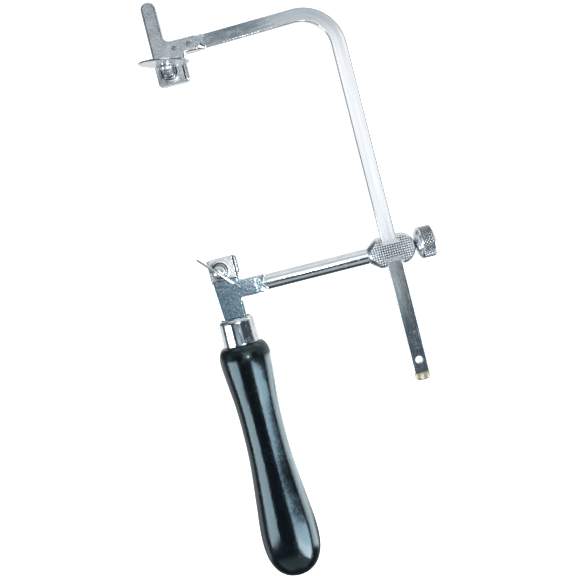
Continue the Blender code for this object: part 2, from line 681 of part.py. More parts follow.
def build_saw_frame():
    clear_scene()
    materials = make_materials()
    middle_x = (KNOB_END - HANDLE_BULGE[1]) / 2.0
    middle_y = (HORN_TOP + HANDLE_BUTT) / 2.0
    datum = add_frame("datum", None, (-middle_x, -middle_y, HANDLE_BULGE[1]))
    handle_side = add_frame("handle_side", datum, (0.0, 0.0, 0.0))
    build_handle(handle_side, materials)
    build_ferrule(handle_side, materials)
    build_lower_head(handle_side, materials)
    build_lower_arm(handle_side, materials)
    build_barrel(handle_side, materials)
    build_clamp("lower", LOWER_CLAMP_AXIS, LOWER_PLATE, LOWER_WING_TURN, LOWER_WING_LEAN, handle_side, materials)
    build_frame_clamp(handle_side, materials)
    bow = add_frame("bow", datum, (0.0, 0.0, 0.0))
    build_spine(bow, materials)
    build_end_screw(bow, materials)
    build_upper_head(bow, materials)
    build_clamp("upper", UPPER_CLAMP_AXIS, UPPER_PLATE, UPPER_WING_TURN, UPPER_WING_LEAN, bow, materials)


build_saw_frame()
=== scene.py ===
"""Looks for the jeweler's saw frame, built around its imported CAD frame.

Each visible piece is modelled here in finer detail than its CAD solid and rides on the same body. The datum
is where the handle's axis (along Y) crosses the lower arm's axis (along X), in the frame's mid-plane, and the
pieces are made from that point.
"""

import math

import bmesh
import bpy
from mathutils import Matrix, Vector, noise


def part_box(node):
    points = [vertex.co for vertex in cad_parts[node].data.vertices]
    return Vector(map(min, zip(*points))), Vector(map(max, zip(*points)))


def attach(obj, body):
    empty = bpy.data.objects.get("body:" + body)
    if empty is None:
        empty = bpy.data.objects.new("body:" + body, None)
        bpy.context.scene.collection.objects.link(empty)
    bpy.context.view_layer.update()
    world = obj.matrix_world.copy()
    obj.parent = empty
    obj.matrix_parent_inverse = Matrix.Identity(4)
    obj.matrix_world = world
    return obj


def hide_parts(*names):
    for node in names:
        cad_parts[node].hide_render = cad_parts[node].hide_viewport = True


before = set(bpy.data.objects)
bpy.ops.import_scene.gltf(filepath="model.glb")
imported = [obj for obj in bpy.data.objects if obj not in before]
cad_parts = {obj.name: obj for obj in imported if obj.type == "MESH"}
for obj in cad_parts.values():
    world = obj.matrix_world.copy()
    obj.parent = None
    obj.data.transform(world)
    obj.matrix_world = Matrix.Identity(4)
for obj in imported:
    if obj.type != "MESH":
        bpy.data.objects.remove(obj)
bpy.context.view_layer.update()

MM = 0.001
CLEARANCE = 0.3 * MM  # between pieces that slip into or over each other
OVERCUT = 2 * MM  # how far a cutter reaches past what it cuts
CUT, JOIN = "DIFFERENCE", "UNION"


def middle(node, axis):
    low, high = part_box(node)
    return (low[axis] + high[axis]) / 2.0


DATUM = Vector((middle("handle", 0), middle("lower_arm_rod", 1), middle("lower_arm_rod", 2)))


def local_box(node):
    """A CAD node's box as (low, high), measured from the datum."""
    low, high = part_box(node)
    return low - DATUM, high - DATUM


# ---------------------------------------------------------------- driving sizes, in metres from the datum

HANDLE_TOP = -0.0286
HANDLE_BUTT = local_box("handle")[0].y
HANDLE_TOP_RADIUS = 0.0100
HANDLE_SHOULDER = (-0.0362, 0.01365)
HANDLE_WAIST = (
    (-0.0453, 0.01295),
    (-0.0604, 0.0115),
    (-0.0766, 0.0111),
    (-0.0908, 0.0115),
    (-0.111, 0.01335),
)
HANDLE_BULGE = (-0.1315, 0.0151)
BUTT_FULLNESS = 2.5
NOSE_RADIUS = 0.0082
NOSE_TOP = -0.0172
TANG_RADIUS = 0.0026
TANG_END = -0.070

FERRULE_TOP = local_box("ferrule")[1].y
FERRULE_BASE = local_box("ferrule")[0].y
FERRULE_TOP_RADIUS = 0.0093
FERRULE_BASE_RADIUS = 0.0096
FERRULE_SHOULDER = 0.0024
FERRULE_WALL = 0.0009
FERRULE_MOUTH_RADIUS = 0.0077

CAST_HALF = 0.0041
CAST_EDGE = 0.0011
CAST_NOSE_SLOPE = 0.0012
CAST_NOSE_LENGTH = 0.0055
CAST_NOSE_OVERLAP = 0.0013
CAST_NOSE_CORNER = 0.0021
CAST_NOSE_DRAFT = 0.0007
CAST_NOSE_INSET = 0.00005
JAW_FACE = 0.0020
JAW_CORNER = 0.0015
PIN_RADIUS = 0.0013

ARM_RADIUS = 0.00415
ARM_SPIGOT_RADIUS = 0.0026
ARM_SPIGOT_START = 0.0090
ARM_START = 0.0204
ARM_PIN = (0.0138, 0.0)
BARREL_START = 0.0759
BARREL_CONE_END = 0.0817
BARREL_NOSE_RADIUS = 0.00435
BARREL_DOME_START = 0.0936
BARREL_DOME_SWEEP = math.radians(68.0)
BARREL_END = 0.1006
BARREL_RADIUS = 0.00825
BARREL_FLAT = 0.0050
BARREL_TIP_RADIUS = 0.0032
BARREL_SOCKET_DEPTH = 0.0045
SLOT_LEFT = 0.0836
SLOT_RIGHT = 0.0929
SLOT_HALF = 0.0023
SLOT_LIP_TOP = 0.0032
SLOT_LIP_FOOT = 0.0056
SLOT_LIP_HEIGHT = 0.0034

BAR_HALF = 0.0020
BAR_EDGE = 0.0005
SPINE_X = 0.0882
SPINE_HALF_WIDTH = 0.0040
SPINE_END = -0.0655
SPINE_HOLE = (SPINE_X, -0.0592)
SPINE_HOLE_RADIUS = 0.0020
UPPER_ARM_HALF_WIDTH = 0.0036
UPPER_ARM_START = (0.0200, 0.1309)
UPPER_ARM_SLOPE = math.radians(1.6)
BEND_RADIUS = 0.0196
TONGUE_START = 0.0010
TONGUE_HALF_WIDTH = 0.0021
TONGUE_HALF_THICKNESS = 0.0014

END_SCREW_RADIUS = 0.0041
END_SCREW_LENGTH = 0.0042
END_SCREW_SHANK = (0.0010, 0.0038)

HORN_LEFT = local_box("upper_head")[0].x
HORN_RIGHT = -0.0006
HORN_TOP = local_box("upper_head")[1].y
HEAD_ARM_TOP = 0.1348
HEAD_ARM_BOTTOM = 0.1269
HEAD_ARM_END = 0.0197
UPPER_JAW_BOTTOM = 0.1123
UPPER_RECESS_TOP = 0.1252
UPPER_LIP_LEFT = 0.0062
UPPER_LIP_RIGHT = 0.0081
UPPER_PINS = ((0.0038, 0.1302), (0.0115, 0.1307))

STEM_BOTTOM = -0.0168
STEM_LEFT = -0.0062
STEM_RIGHT = 0.0063
LOWER_JAW_LEFT = -0.0075
LOWER_JAW_TOP = 0.0183
LOWER_RECESS_BOTTOM = 0.0062
LOWER_LIP_LEFT = 0.0069
LOWER_LIP_RIGHT = 0.0083
LOWER_LIP_BOTTOM = 0.0080
BOSS_HALF_WIDTH = 0.0047
BOSS_END = 0.0201

PLATE_CORNER = 0.0006
PLATE_TOP = JAW_FACE + 0.0003 + 0.0022
UPPER_CLAMP_AXIS = (-0.0018, 0.1186)
LOWER_CLAMP_AXIS = (-0.0015, 0.0118)
WASHER_LOW = PLATE_TOP + 0.0003
WASHER_HIGH = WASHER_LOW + 0.0013
WASHER_RADIUS = 0.0054
SHANK_RADIUS = 0.0024
SHANK_HOLE_RADIUS = 0.0028
SHANK_END = -0.0032
NECK_RADIUS = 0.0029
NECK_TOP = PLATE_TOP + 0.0190
WING_RADIUS = 0.0127
WING_HALF = 0.0005
WING_HEIGHT = PLATE_TOP + 0.0235
WINGS = {
    "upper": (UPPER_CLAMP_AXIS, math.radians(-9.7), math.radians(3.0)),
    "lower": (LOWER_CLAMP_AXIS, math.radians(-46.0), math.radians(-3.2)),
}

PAD_START = 0.0925
PAD_RADIUS = 0.0021
PAD_THICKNESS = 0.0016
STUD_RADIUS = 0.0020
KNOB_START = 0.1012
KNOB_END = local_box("clamp_knob")[1].x
KNOB_RADIUS = 0.00845
KNOB_BEVEL = (
    (0.0, 0.0034),
    (0.0005, 0.0054),
    (0.0009, 0.0064),
    (0.0018, 0.0079),
    (0.0024, 0.0083),
    (0.0030, KNOB_RADIUS),
)
KNOB_DOME_LENGTH = 0.0022
KNOB_DOME = (
    (0.0, KNOB_RADIUS),
    (0.0004, 0.0081),
    (0.0008, 0.00745),
    (0.0013, 0.0062),
    (0.0017, 0.00505),
    (0.0020, 0.0038),
)
KNOB_FACE_RADIUS = 0.0024
KNOB_BORE_DEPTH = 0.0060

THREAD_PITCH = 0.0007
THREAD_DEPTH = 0.00028
WING_THREAD_PITCH = 0.0008
WING_THREAD_DEPTH = 0.0003
KNURL_PITCH = 0.0017
KNURL_DEPTH = 0.00045
FLAT_KNURL_PITCH = 0.00125
FLAT_KNURL_DEPTH = 0.00032


# ---------------------------------------------------------------- material nodes

class Tree:
    """Short ways to build a node tree."""

    def __init__(self, tree):
        self.tree = tree

    def add(self, kind, **values):
        node = self.tree.nodes.new(kind)
        for key, value in values.items():
            setattr(node, key, value)
        return node

    def link(self, start, end):
        self.tree.links.new(start, end)

    def span(self, value, low, high, to_low=0.0, to_high=1.0, curve="LINEAR"):
        node = self.add("ShaderNodeMapRange", interpolation_type=curve)
        for key, number in (("From Min", low), ("From Max", high), ("To Min", to_low), ("To Max", to_high)):
            node.inputs[key].default_value = number
        self.link(value, node.inputs["Value"])
        return node.outputs["Result"]

    def maths(self, operation, first, second=0.0):
        node = self.add("ShaderNodeMath", operation=operation)
        for socket, value in zip(node.inputs, (first, second)):
            if isinstance(value, float):
                socket.default_value = value
            else:
                self.link(value, socket)
        return node.outputs["Value"]

    def mix(self, factor, first, second):
        """A colour between two colours or sockets."""
        node = self.add("ShaderNodeMix", data_type="RGBA")
        self.link(factor, node.inputs["Factor"])
        for socket, value in ((node.inputs[6], first), (node.inputs[7], second)):
            if isinstance(value, tuple):
                socket.default_value = (*value, 1.0)
            else:
                self.link(value, socket)
        return node.outputs[2]


class Nodes(Tree):
    """A Principled material and short ways to give it texture."""

    def __init__(self, name, colour, roughness, metallic):
        self.material = bpy.data.materials.new(name)
        self.material.use_nodes = True
        super().__init__(self.material.node_tree)
        self.shader = self.tree.nodes["Principled BSDF"]
        self.set("Base Color", (*colour, 1.0))
        self.set("Roughness", roughness)
        self.set("Metallic", metallic)
        self.normal = None

    def set(self, socket, value):
        if hasattr(value, "links"):
            self.link(value, self.shader.inputs[socket])
        else:
            self.shader.inputs[socket].default_value = value

    def place(self, size_mm, stretch=(1.0, 1.0, 1.0), turn=0.0, uv=False):
        """Texture space where one unit is size_mm on the object, longer by stretch along each axis."""
        source = self.add("ShaderNodeTexCoord").outputs["UV" if uv else "Object"]
        mapping = self.add("ShaderNodeMapping")
        mapping.inputs["Rotation"].default_value = (0.0, 0.0, turn)
        mapping.inputs["Scale"].default_value = [1.0 / (size_mm * MM * s) for s in stretch]
        self.link(source, mapping.inputs["Vector"])
        return mapping.outputs["Vector"]

    def noise(self, size_mm, stretch=(1.0, 1.0, 1.0), detail=3.0, rough=0.55, warp=0.0, turn=0.0, uv=False):
        node = self.add("ShaderNodeTexNoise")
        node.inputs["Scale"].default_value = 1.0
        node.inputs["Detail"].default_value = detail
        node.inputs["Roughness"].default_value = rough
        node.inputs["Distortion"].default_value = warp
        self.link(self.place(size_mm, stretch, turn, uv), node.inputs["Vector"])
        return node.outputs["Fac"]

    def cells(self, size_mm):
        node = self.add("ShaderNodeTexVoronoi", feature="SMOOTH_F1")
        node.inputs["Scale"].default_value = 1.0
        self.link(self.place(size_mm), node.inputs["Vector"])
        return node.outputs["Distance"]

    def attribute(self, name):
        return self.add("ShaderNodeAttribute", attribute_name=name).outputs["Fac"]

    def bump(self, height, strength, distance):
        node = self.add("ShaderNodeBump")
        node.inputs["Strength"].default_value = strength
        node.inputs["Distance"].default_value = distance
        self.link(height, node.inputs["Height"])
        if self.normal is not None:
            self.link(self.normal, node.inputs["Normal"])
        self.normal = node.outputs["Normal"]
        self.link(self.normal, self.shader.inputs["Normal"])

    def ridge(self, value, width):
        """1 where the value crosses its middle, falling to 0 at width on either side."""
        off = self.maths("ABSOLUTE", self.maths("SUBTRACT", value, 0.5))
        return self.span(off, 0.0, width, 1.0, 0.0)

    def scratches(self, size_mm, turn, length, width=0.035):
        """Thin lines along one direction, in patches: 1 on a scratch and 0 off it."""
        thin = self.ridge(self.noise(size_mm, (1.0, length, length), 2.0, 0.5, 0.15, turn), width)
        patches = self.span(self.noise(size_mm * 9.0, detail=1.0), 0.52, 0.60)
        return self.maths("MULTIPLY", thin, patches)

    def crossed(self, first, second):
        """Scratches in two directions, each given as the arguments of scratches."""
        return self.maths("MAXIMUM", self.scratches(*first), self.scratches(*second))

    def marked_roughness(self, base, marks, amount):
        self.set("Roughness", self.maths("ADD", base, self.maths("MULTIPLY", marks, amount)))


def lacquer():
    n = Nodes("black_lacquer", (0.004, 0.007, 0.010), 0.16, 0.0)
    grain = n.noise(0.7, (1.0, 22.0, 1.0), 5.0, 0.6)
    colour = n.mix(n.span(grain, 0.35, 0.70), (0.0007, 0.0015, 0.0022), (0.0028, 0.0045, 0.0062))
    chip = n.span(n.noise(2.6, detail=6.0, rough=0.7), 0.70, 0.74)
    n.set("Base Color", n.mix(chip, colour, (0.016, 0.018, 0.020)))
    smear = n.noise(9.0, (1.0, 2.5, 1.0), 3.0)
    scuffs = n.crossed((0.5, 0.4, 26.0), (0.6, -0.9, 22.0))
    n.marked_roughness(n.span(smear, 0.3, 0.7, 0.12, 0.20), scuffs, 0.12)
    n.bump(n.noise(1.7, (1.0, 1.5, 1.0), 2.0, 0.6), 0.9, 0.06 * MM)
    n.bump(grain, 0.25, 0.03 * MM)
    n.set("IOR", 1.5)
    n.set("Specular IOR Level", 0.75)
    n.set("Specular Tint", (0.72, 0.93, 1.0, 1.0))
    return n.material


def chrome():
    n = Nodes("ferrule_chrome", (0.78, 0.80, 0.82), 0.09, 1.0)
    turned_lines = n.noise(0.16, (30.0, 1.0, 30.0), 4.0, 0.6)
    cloud = n.noise(4.0, detail=4.0)
    n.set("Base Color", n.mix(n.span(cloud, 0.35, 0.7), (0.66, 0.69, 0.71), (0.84, 0.86, 0.88)))
    marks = n.crossed((0.5, 0.3, 24.0), (0.4, 1.2, 20.0))
    n.marked_roughness(n.span(turned_lines, 0.3, 0.7, 0.06, 0.13), marks, 0.2)
    n.bump(turned_lines, 0.05, 0.03 * MM)
    n.bump(marks, 0.25, 0.01 * MM)
    return n.material


def casting(name, dark, light, worm, roughness):
    """Plated sand casting: pebbled satin skin, curly flow lines, painted glints, and brighter edges and sides
    that are partly rubbed wear and partly a painted sheen.
    """
    n = Nodes(name, light, roughness, 1.0)
    pebble = n.cells(1.25)
    fine = n.noise(0.85, detail=3.0, rough=0.6)
    cloud = n.noise(5.5, detail=4.0, rough=0.6)
    skin = n.mix(n.span(cloud, 0.34, 0.68), dark, light)
    curl = n.noise(3.0, detail=1.0, rough=0.5, warp=1.4)
    line = n.ridge(curl, 0.030)
    lined = n.mix(n.maths("MULTIPLY", line, 0.5), skin, worm)
    pits = n.span(fine, 0.36, 0.50, 1.0, 0.0)
    pitted = n.mix(n.maths("MULTIPLY", pits, 0.5), lined, tuple(0.65 * c for c in dark))
    # painted glints: random light specks in the base colour stand in for sparkle highlights on the pebbles
    painted_glints = n.span(n.noise(1.0, detail=2.0, rough=0.7), 0.58, 0.68)
    pitted = n.mix(n.maths("MULTIPLY", painted_glints, 0.45), pitted, worm)
    # brighter base colour on the edges and sides: partly rubbed wear, partly a painted sheen
    n.set("Base Color", n.mix(n.attribute("rub_and_sheen"), pitted, (0.87, 0.89, 0.90)))
    rough = n.span(fine, 0.3, 0.7, roughness - 0.06, roughness + 0.08)
    n.set("Roughness", n.maths("SUBTRACT", rough, n.maths("MULTIPLY", n.attribute("rub_and_sheen"), 0.08)))
    n.bump(pebble, 0.10, 0.12 * MM)
    n.bump(fine, 0.14, 0.08 * MM)
    n.bump(line, 0.12, 0.05 * MM)
    return n.material


def drawn_bar():
    """Plated flat bar: long streaks along it, cross scuffs where the slider runs, and a painted dark
    reflection down the lower spine and on the upper arm near the head.
    """
    n = Nodes("spine_nickel", (0.76, 0.79, 0.82), 0.14, 1.0)
    streak = n.noise(0.55, (60.0, 1.0, 1.0), 4.0, 0.6, uv=True)
    broad = n.noise(2.2, (30.0, 1.0, 1.0), 3.0, 0.5, uv=True)
    tone = n.mix(n.span(broad, 0.32, 0.68), (0.70, 0.73, 0.76), (0.84, 0.85, 0.86))
    # Where the bar is worn the base colour turns darker in streaks: a painted dark reflection on the lower
    # spine and on the upper arm near the head. The same value also strengthens the scuffs.
    wear_and_dark_reflection = n.attribute("wear_and_dark_reflection")
    dark_tone_mix = n.span(n.noise(1.2, (9.0, 1.0, 1.0), 5.0, 0.7, uv=True), 0.42, 0.62)
    painted_dark_reflection = n.mix(dark_tone_mix, (0.48, 0.52, 0.55), (0.72, 0.75, 0.77))
    n.set("Base Color", n.mix(wear_and_dark_reflection, tone, painted_dark_reflection))
    scuffs = n.crossed((0.32, 0.5, 26.0, 0.05), (0.38, -0.7, 22.0, 0.05))
    marks = n.maths("MULTIPLY", scuffs, n.maths("ADD", wear_and_dark_reflection, 0.25))
    n.marked_roughness(n.span(streak, 0.3, 0.7, 0.10, 0.20), marks, 0.10)
    n.bump(streak, 0.10, 0.03 * MM)
    n.bump(broad, 0.16, 0.06 * MM)
    n.bump(marks, 0.03, 0.010 * MM)
    return n.material


def drawn_rod():
    n = Nodes("arm_nickel", (0.78, 0.80, 0.82), 0.10, 1.0)
    streak = n.noise(0.5, (50.0, 1.0, 1.0), 4.0, 0.6)
    cloud = n.noise(3.0, (3.0, 1.0, 1.0), 4.0)
    n.set("Base Color", n.mix(n.span(cloud, 0.35, 0.7), (0.70, 0.73, 0.75), (0.84, 0.86, 0.87)))
    marks = n.crossed((0.35, 0.2, 24.0), (0.3, 1.35, 18.0))
    n.marked_roughness(n.span(streak, 0.3, 0.7, 0.06, 0.15), marks, 0.2)
    n.bump(streak, 0.10, 0.04 * MM)
    n.bump(marks, 0.25, 0.01 * MM)
    return n.material


def turned_steel(name, colour, shade, roughness):
    """Turned or knurled plated steel, darker in the grooves: painted shade there, with some dirt."""
    n = Nodes(name, colour, roughness, 1.0)
    cloud = n.noise(2.4, detail=5.0, rough=0.6)
    tone = n.mix(n.span(cloud, 0.35, 0.68), tuple(0.86 * c for c in colour), colour)
    # painted shade and dirt: the groove value darkens the base colour towards shade
    groove_shade_and_dirt = n.maths("MULTIPLY", n.attribute("groove"), n.span(n.noise(0.8, detail=4.0), 0.25, 0.6, 0.55, 1.0))
    n.set("Base Color", n.mix(groove_shade_and_dirt, tone, shade))
    fine = n.noise(0.22, detail=4.0, rough=0.6)
    marks = n.crossed((0.35, 0.7, 22.0), (0.3, -0.4, 18.0))
    n.marked_roughness(n.span(fine, 0.3, 0.7, roughness - 0.04, roughness + 0.06), marks, 0.15)
    n.bump(fine, 0.12, 0.02 * MM)
    n.bump(marks, 0.25, 0.01 * MM)
    return n.material


def ground_plate():
    """Clamp plate steel, clouded and lightly scratched."""
    n = Nodes("clamp_steel", (0.80, 0.81, 0.83), 0.20, 1.0)
    cloud = n.noise(3.2, detail=5.0, rough=0.6)
    n.set("Base Color", n.mix(n.span(cloud, 0.35, 0.66), (0.56, 0.59, 0.62), (0.86, 0.87, 0.89)))
    marks = n.crossed((0.4, 0.2, 24.0), (0.35, 1.1, 20.0))
    n.marked_roughness(n.span(cloud, 0.3, 0.7, 0.26, 0.16), marks, 0.15)
    n.bump(cloud, 0.35, 0.10 * MM)
    n.bump(marks, 0.3, 0.012 * MM)
    return n.material


MATERIALS = {
    "lacquer": lacquer(),
    "chrome": chrome(),
    "upper_cast": casting("upper_casting", (0.52, 0.55, 0.58), (0.73, 0.76, 0.79), (0.88, 0.90, 0.92), 0.22),
    # The lower head is the same plated casting as the upper; its darker, bluer colours are a painted dark
    # reflection.
    "lower_cast": casting("lower_casting_painted_dark", (0.20, 0.30, 0.36), (0.34, 0.46, 0.53), (0.80, 0.86, 0.90), 0.19),
    "bar": drawn_bar(),
    "rod": drawn_rod(),
    "plate": ground_plate(),
    "steel": turned_steel("screw_nickel", (0.76, 0.78, 0.80), (0.10, 0.12, 0.14), 0.24),
    "knob": turned_steel("knob_nickel", (0.84, 0.86, 0.88), (0.012, 0.016, 0.020), 0.20),
    "barrel": turned_steel("slider_nickel", (0.80, 0.83, 0.85), (0.020, 0.028, 0.036), 0.24),
    "pin": turned_steel("pin_steel", (0.40, 0.44, 0.47), (0.12, 0.13, 0.14), 0.32),
    "disc": turned_steel("wing_nickel", (0.82, 0.83, 0.84), (0.3, 0.3, 0.3), 0.20),
    "brass": turned_steel("knurled_brass", (0.74, 0.66, 0.50), (0.20, 0.13, 0.06), 0.36),
}


# ---------------------------------------------------------------- mesh making

AXIS_TURNS = {
    "X": Matrix.Rotation(math.radians(90.0), 4, "Y"),
    "Y": Matrix.Rotation(math.radians(-90.0), 4, "X"),
    "Z": Matrix.Identity(4),
}


def arc(centre, radius, start, end, steps):
    """Points on a circle from start to end, in degrees, both ends included."""
    angles = [math.radians(start + (end - start) * i / steps) for i in range(steps + 1)]
    return [(centre[0] + radius * math.cos(a), centre[1] + radius * math.sin(a)) for a in angles]


def lathe(profile, axis, segments=64, hollow=False, shape=None):
    """A solid of revolution from (distance along the axis, radius). shape(turn, along, radius) gives the
    final radius and how deep in a groove the point is, from 0 to 1."""
    bm = bmesh.new()
    depth = bm.verts.layers.float.new("groove")
    rings = []
    for along, radius in profile:
        if radius < 1e-7:
            rings.append([bm.verts.new((0.0, 0.0, along))])
            continue
        ring = []
        for i in range(segments):
            turn = 2.0 * math.pi * i / segments
            final, groove = (radius, 0.0) if shape is None else shape(turn, along, radius)
            vertex = bm.verts.new((final * math.cos(turn), final * math.sin(turn), along))
            vertex[depth] = groove
            ring.append(vertex)
        rings.append(ring)
    pairs = list(zip(rings, rings[1:]))
    if hollow:
        pairs.append((rings[-1], rings[0]))
    for lower, upper in pairs:
        for i in range(segments):
            j = (i + 1) % segments
            around = [lower[i % len(lower)], lower[j % len(lower)]]
            around += [upper[j % len(upper)], upper[i % len(upper)]]
            bm.faces.new(list(dict.fromkeys(around)))
    if not hollow:
        for ring in (rings[0], rings[-1]):
            if len(ring) > 1:
                bm.faces.new(ring)
    bm.transform(AXIS_TURNS[axis])
    return bm


def rounded_outline(corners, steps=10):
    """Corner points (x, y, radius) become an outline whose corners are arcs."""
    outline = []
    for i, (x, y, radius) in enumerate(corners):
        corner = Vector((x, y))
        if radius <= 0.0:
            outline.append((x, y))
            continue
        before = (Vector(corners[i - 1][:2]) - corner).normalized()
        after = (Vector(corners[(i + 1) % len(corners)][:2]) - corner).normalized()
        half = before.angle(after) / 2.0
        centre = corner + (before + after).normalized() * radius / math.sin(half)
        first = corner + before * radius / math.tan(half) - centre
        last = corner + after * radius / math.tan(half) - centre
        start = math.atan2(first.y, first.x)
        sweep = math.remainder(math.atan2(last.y, last.x) - start, 2.0 * math.pi)
        for k in range(steps + 1):
            turn = start + sweep * k / steps
            outline.append((centre.x + radius * math.cos(turn), centre.y + radius * math.sin(turn)))
    return outline


def swept(points, shift):
    """A solid from the face through the points, pushed along shift."""
    bm = bmesh.new()
    face = bm.faces.new([bm.verts.new(point) for point in points])
    grown = bmesh.ops.extrude_face_region(bm, geom=[face])["geom"]
    pushed = [item for item in grown if isinstance(item, bmesh.types.BMVert)]
    bmesh.ops.translate(bm, verts=pushed, vec=shift)
    return bm


def extruded(outline, low, high, edge, segments=4):
    """A flat outline in XY between two heights, with its rims rounded."""
    bm = swept([(x, y, low) for x, y in outline], (0.0, 0.0, high - low))
    rims = [e for e in bm.edges if abs(e.verts[0].co.z - e.verts[1].co.z) < 1e-9]
    bmesh.ops.bevel(bm, geom=rims, offset=edge, segments=segments, profile=0.5, affect="EDGES")
    return bm


def block(x_range, y_range, z_range, place=None):
    bm = bmesh.new()
    bmesh.ops.create_cube(bm, size=1.0)
    size = [high - low for low, high in (x_range, y_range, z_range)]
    centre = [(high + low) / 2.0 for low, high in (x_range, y_range, z_range)]
    bmesh.ops.scale(bm, vec=size, verts=bm.verts)
    bmesh.ops.translate(bm, vec=centre, verts=bm.verts)
    if place is not None:
        bm.transform(place)
    return bm


def moved(bm, x=0.0, y=0.0, z=0.0, place=None):
    bm.transform(Matrix.Translation((x, y, z)) if place is None else place)
    return bm


def raw_object(name, bm):
    bmesh.ops.recalc_face_normals(bm, faces=bm.faces)
    mesh = bpy.data.meshes.new(name)
    bm.to_mesh(mesh)
    bm.free()
    made = bpy.data.objects.new(name, mesh)
    bpy.context.scene.collection.objects.link(made)
    return made


def combined(name, source, tools=(), voxel=0.0):
    """The mesh of source with each (operation, bmesh) tool applied in turn, then remeshed if voxel is set."""
    if isinstance(source, bmesh.types.BMesh):
        body = raw_object(name, source)
    else:
        body = bpy.data.objects.new(name, source)
        bpy.context.scene.collection.objects.link(body)
    helpers = []
    for i, (operation, tool) in enumerate(tools):
        helper = raw_object(f"{name}_tool_{i}", tool)
        boolean = body.modifiers.new(f"tool_{i}", "BOOLEAN")
        boolean.operation = operation
        boolean.object = helper
        helpers.append(helper)
    if voxel > 0.0:
        remesh = body.modifiers.new("remesh", "REMESH")
        remesh.mode = "VOXEL"
        remesh.voxel_size = voxel
    graph = bpy.context.evaluated_depsgraph_get()
    mesh = bpy.data.meshes.new_from_object(body.evaluated_get(graph), depsgraph=graph)
    for helper in helpers + [body]:
        bpy.data.objects.remove(helper)
    return mesh


def piece(name, source, material, body, nodes, sharp=32.0, weighted=True):
    """Finishes a piece made in datum space: shading, material, body and the nodes it replaces."""
    if isinstance(source, bmesh.types.BMesh):
        bmesh.ops.recalc_face_normals(source, faces=source.faces)
        mesh = bpy.data.meshes.new(name)
        source.to_mesh(mesh)
        source.free()
    else:
        mesh = source
        mesh.name = name
    mesh.shade_smooth()
    mesh.set_sharp_from_angle(angle=math.radians(sharp))
    mesh.materials.clear()
    mesh.materials.append(MATERIALS[material])
    made = bpy.data.objects.new(name, mesh)
    bpy.context.scene.collection.objects.link(made)
    made.location = DATUM
    if weighted:
        weigh = made.modifiers.new("face_weighted_normals", "WEIGHTED_NORMAL")
        weigh.keep_sharp = True
    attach(made, body)
    if nodes:
        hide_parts(*nodes)
    return made


def triangle_wave(value):
    return abs(2.0 * (value - math.floor(value)) - 1.0)


# ---------------------------------------------------------------- handle and ferrule

def smooth_run(points, steps):
    """A cubic run through (y, radius) points that starts and ends level."""
    slopes = [0.0]
    for before, after in zip(points, points[2:]):
        slopes.append((after[1] - before[1]) / (after[0] - before[0]))
    slopes.append(0.0)
    run = [points[0]]
    for i in range(len(points) - 1):
        (y0, r0), (y1, r1) = points[i], points[i + 1]
        length = y1 - y0
        for k in range(1, steps + 1):
            t = k / steps
            rise = (2 * t**3 - 3 * t**2 + 1) * r0 + (3 * t**2 - 2 * t**3) * r1
            lean = (t**3 - 2 * t**2 + t) * slopes[i] * length + (t**3 - t**2) * slopes[i + 1] * length
            run.append((y0 + length * t, rise + lean))
    return run


def build_handle():
    bore = TANG_RADIUS + CLEARANCE
    bore_end = TANG_END - OVERCUT
    shoulder_y, shoulder_radius = HANDLE_SHOULDER
    bulge_y, bulge_radius = HANDLE_BULGE
    profile = [(bore_end, 0.0), (bore_end, bore), (NOSE_TOP, bore)]
    profile += [(NOSE_TOP, NOSE_RADIUS), (HANDLE_TOP, NOSE_RADIUS)]
    for k in range(24):
        turn = math.radians(90.0 * k / 24)
        y = shoulder_y + (HANDLE_TOP - shoulder_y) * math.cos(turn)
        profile.append((y, HANDLE_TOP_RADIUS + (shoulder_radius - HANDLE_TOP_RADIUS) * math.sin(turn)))
    profile += smooth_run([HANDLE_SHOULDER, *HANDLE_WAIST, HANDLE_BULGE], 12)
    for k in range(1, 36):
        turn = math.radians(90.0 * k / 36)
        along = math.sin(turn) ** (2.0 / BUTT_FULLNESS)
        across = math.cos(turn) ** (2.0 / BUTT_FULLNESS)
        profile.append((bulge_y + (HANDLE_BUTT - bulge_y) * along, bulge_radius * across))
    profile.append((HANDLE_BUTT, 0.0))
    bm = lathe(profile, "Y", 112)
    piece("handle_lacquered", bm, "lacquer", "handle_side", ["handle"])


def build_ferrule():
    centre = (FERRULE_TOP - FERRULE_SHOULDER, FERRULE_TOP_RADIUS - FERRULE_SHOULDER)
    foot, radius, mouth = FERRULE_BASE, FERRULE_BASE_RADIUS, FERRULE_MOUTH_RADIUS
    bead = 0.35 * MM
    outside = [(foot, radius - 0.5 * bead), (foot + 0.4 * bead, radius)]
    outside += [(foot + 1.6 * bead, radius), (foot + 2.4 * bead, radius - 0.3 * bead)]
    outside += [p for p in arc(centre, FERRULE_SHOULDER, 90.0, 0.0, 14) if p[1] > mouth]
    outside += [(FERRULE_TOP, mouth + 0.2 * MM), (FERRULE_TOP - 0.15 * MM, mouth)]
    inner_top = FERRULE_TOP - FERRULE_WALL
    inner = FERRULE_TOP_RADIUS - FERRULE_WALL
    inside = [(inner_top, mouth), (inner_top - 1.5 * MM, inner), (foot, radius - FERRULE_WALL)]
    bm = lathe(outside + inside, "Y", 96, hollow=True)
    piece("ferrule_shell", bm, "chrome", "handle_side", ["ferrule"])


# ---------------------------------------------------------------- castings

VOXEL = 0.27 * MM
PEBBLE_SIZE = 1.1 * MM
PEBBLE_DEPTH = 0.04 * MM
RUB_AND_SHEEN_PATCH = 3.0 * MM
RUB_AND_SHEEN_START = 0.97  # how squarely the surface faces up or down where the brighter edge begins: partly rubbed wear, partly a painted sheen
RUB_AND_SHEEN_FADE = 0.20


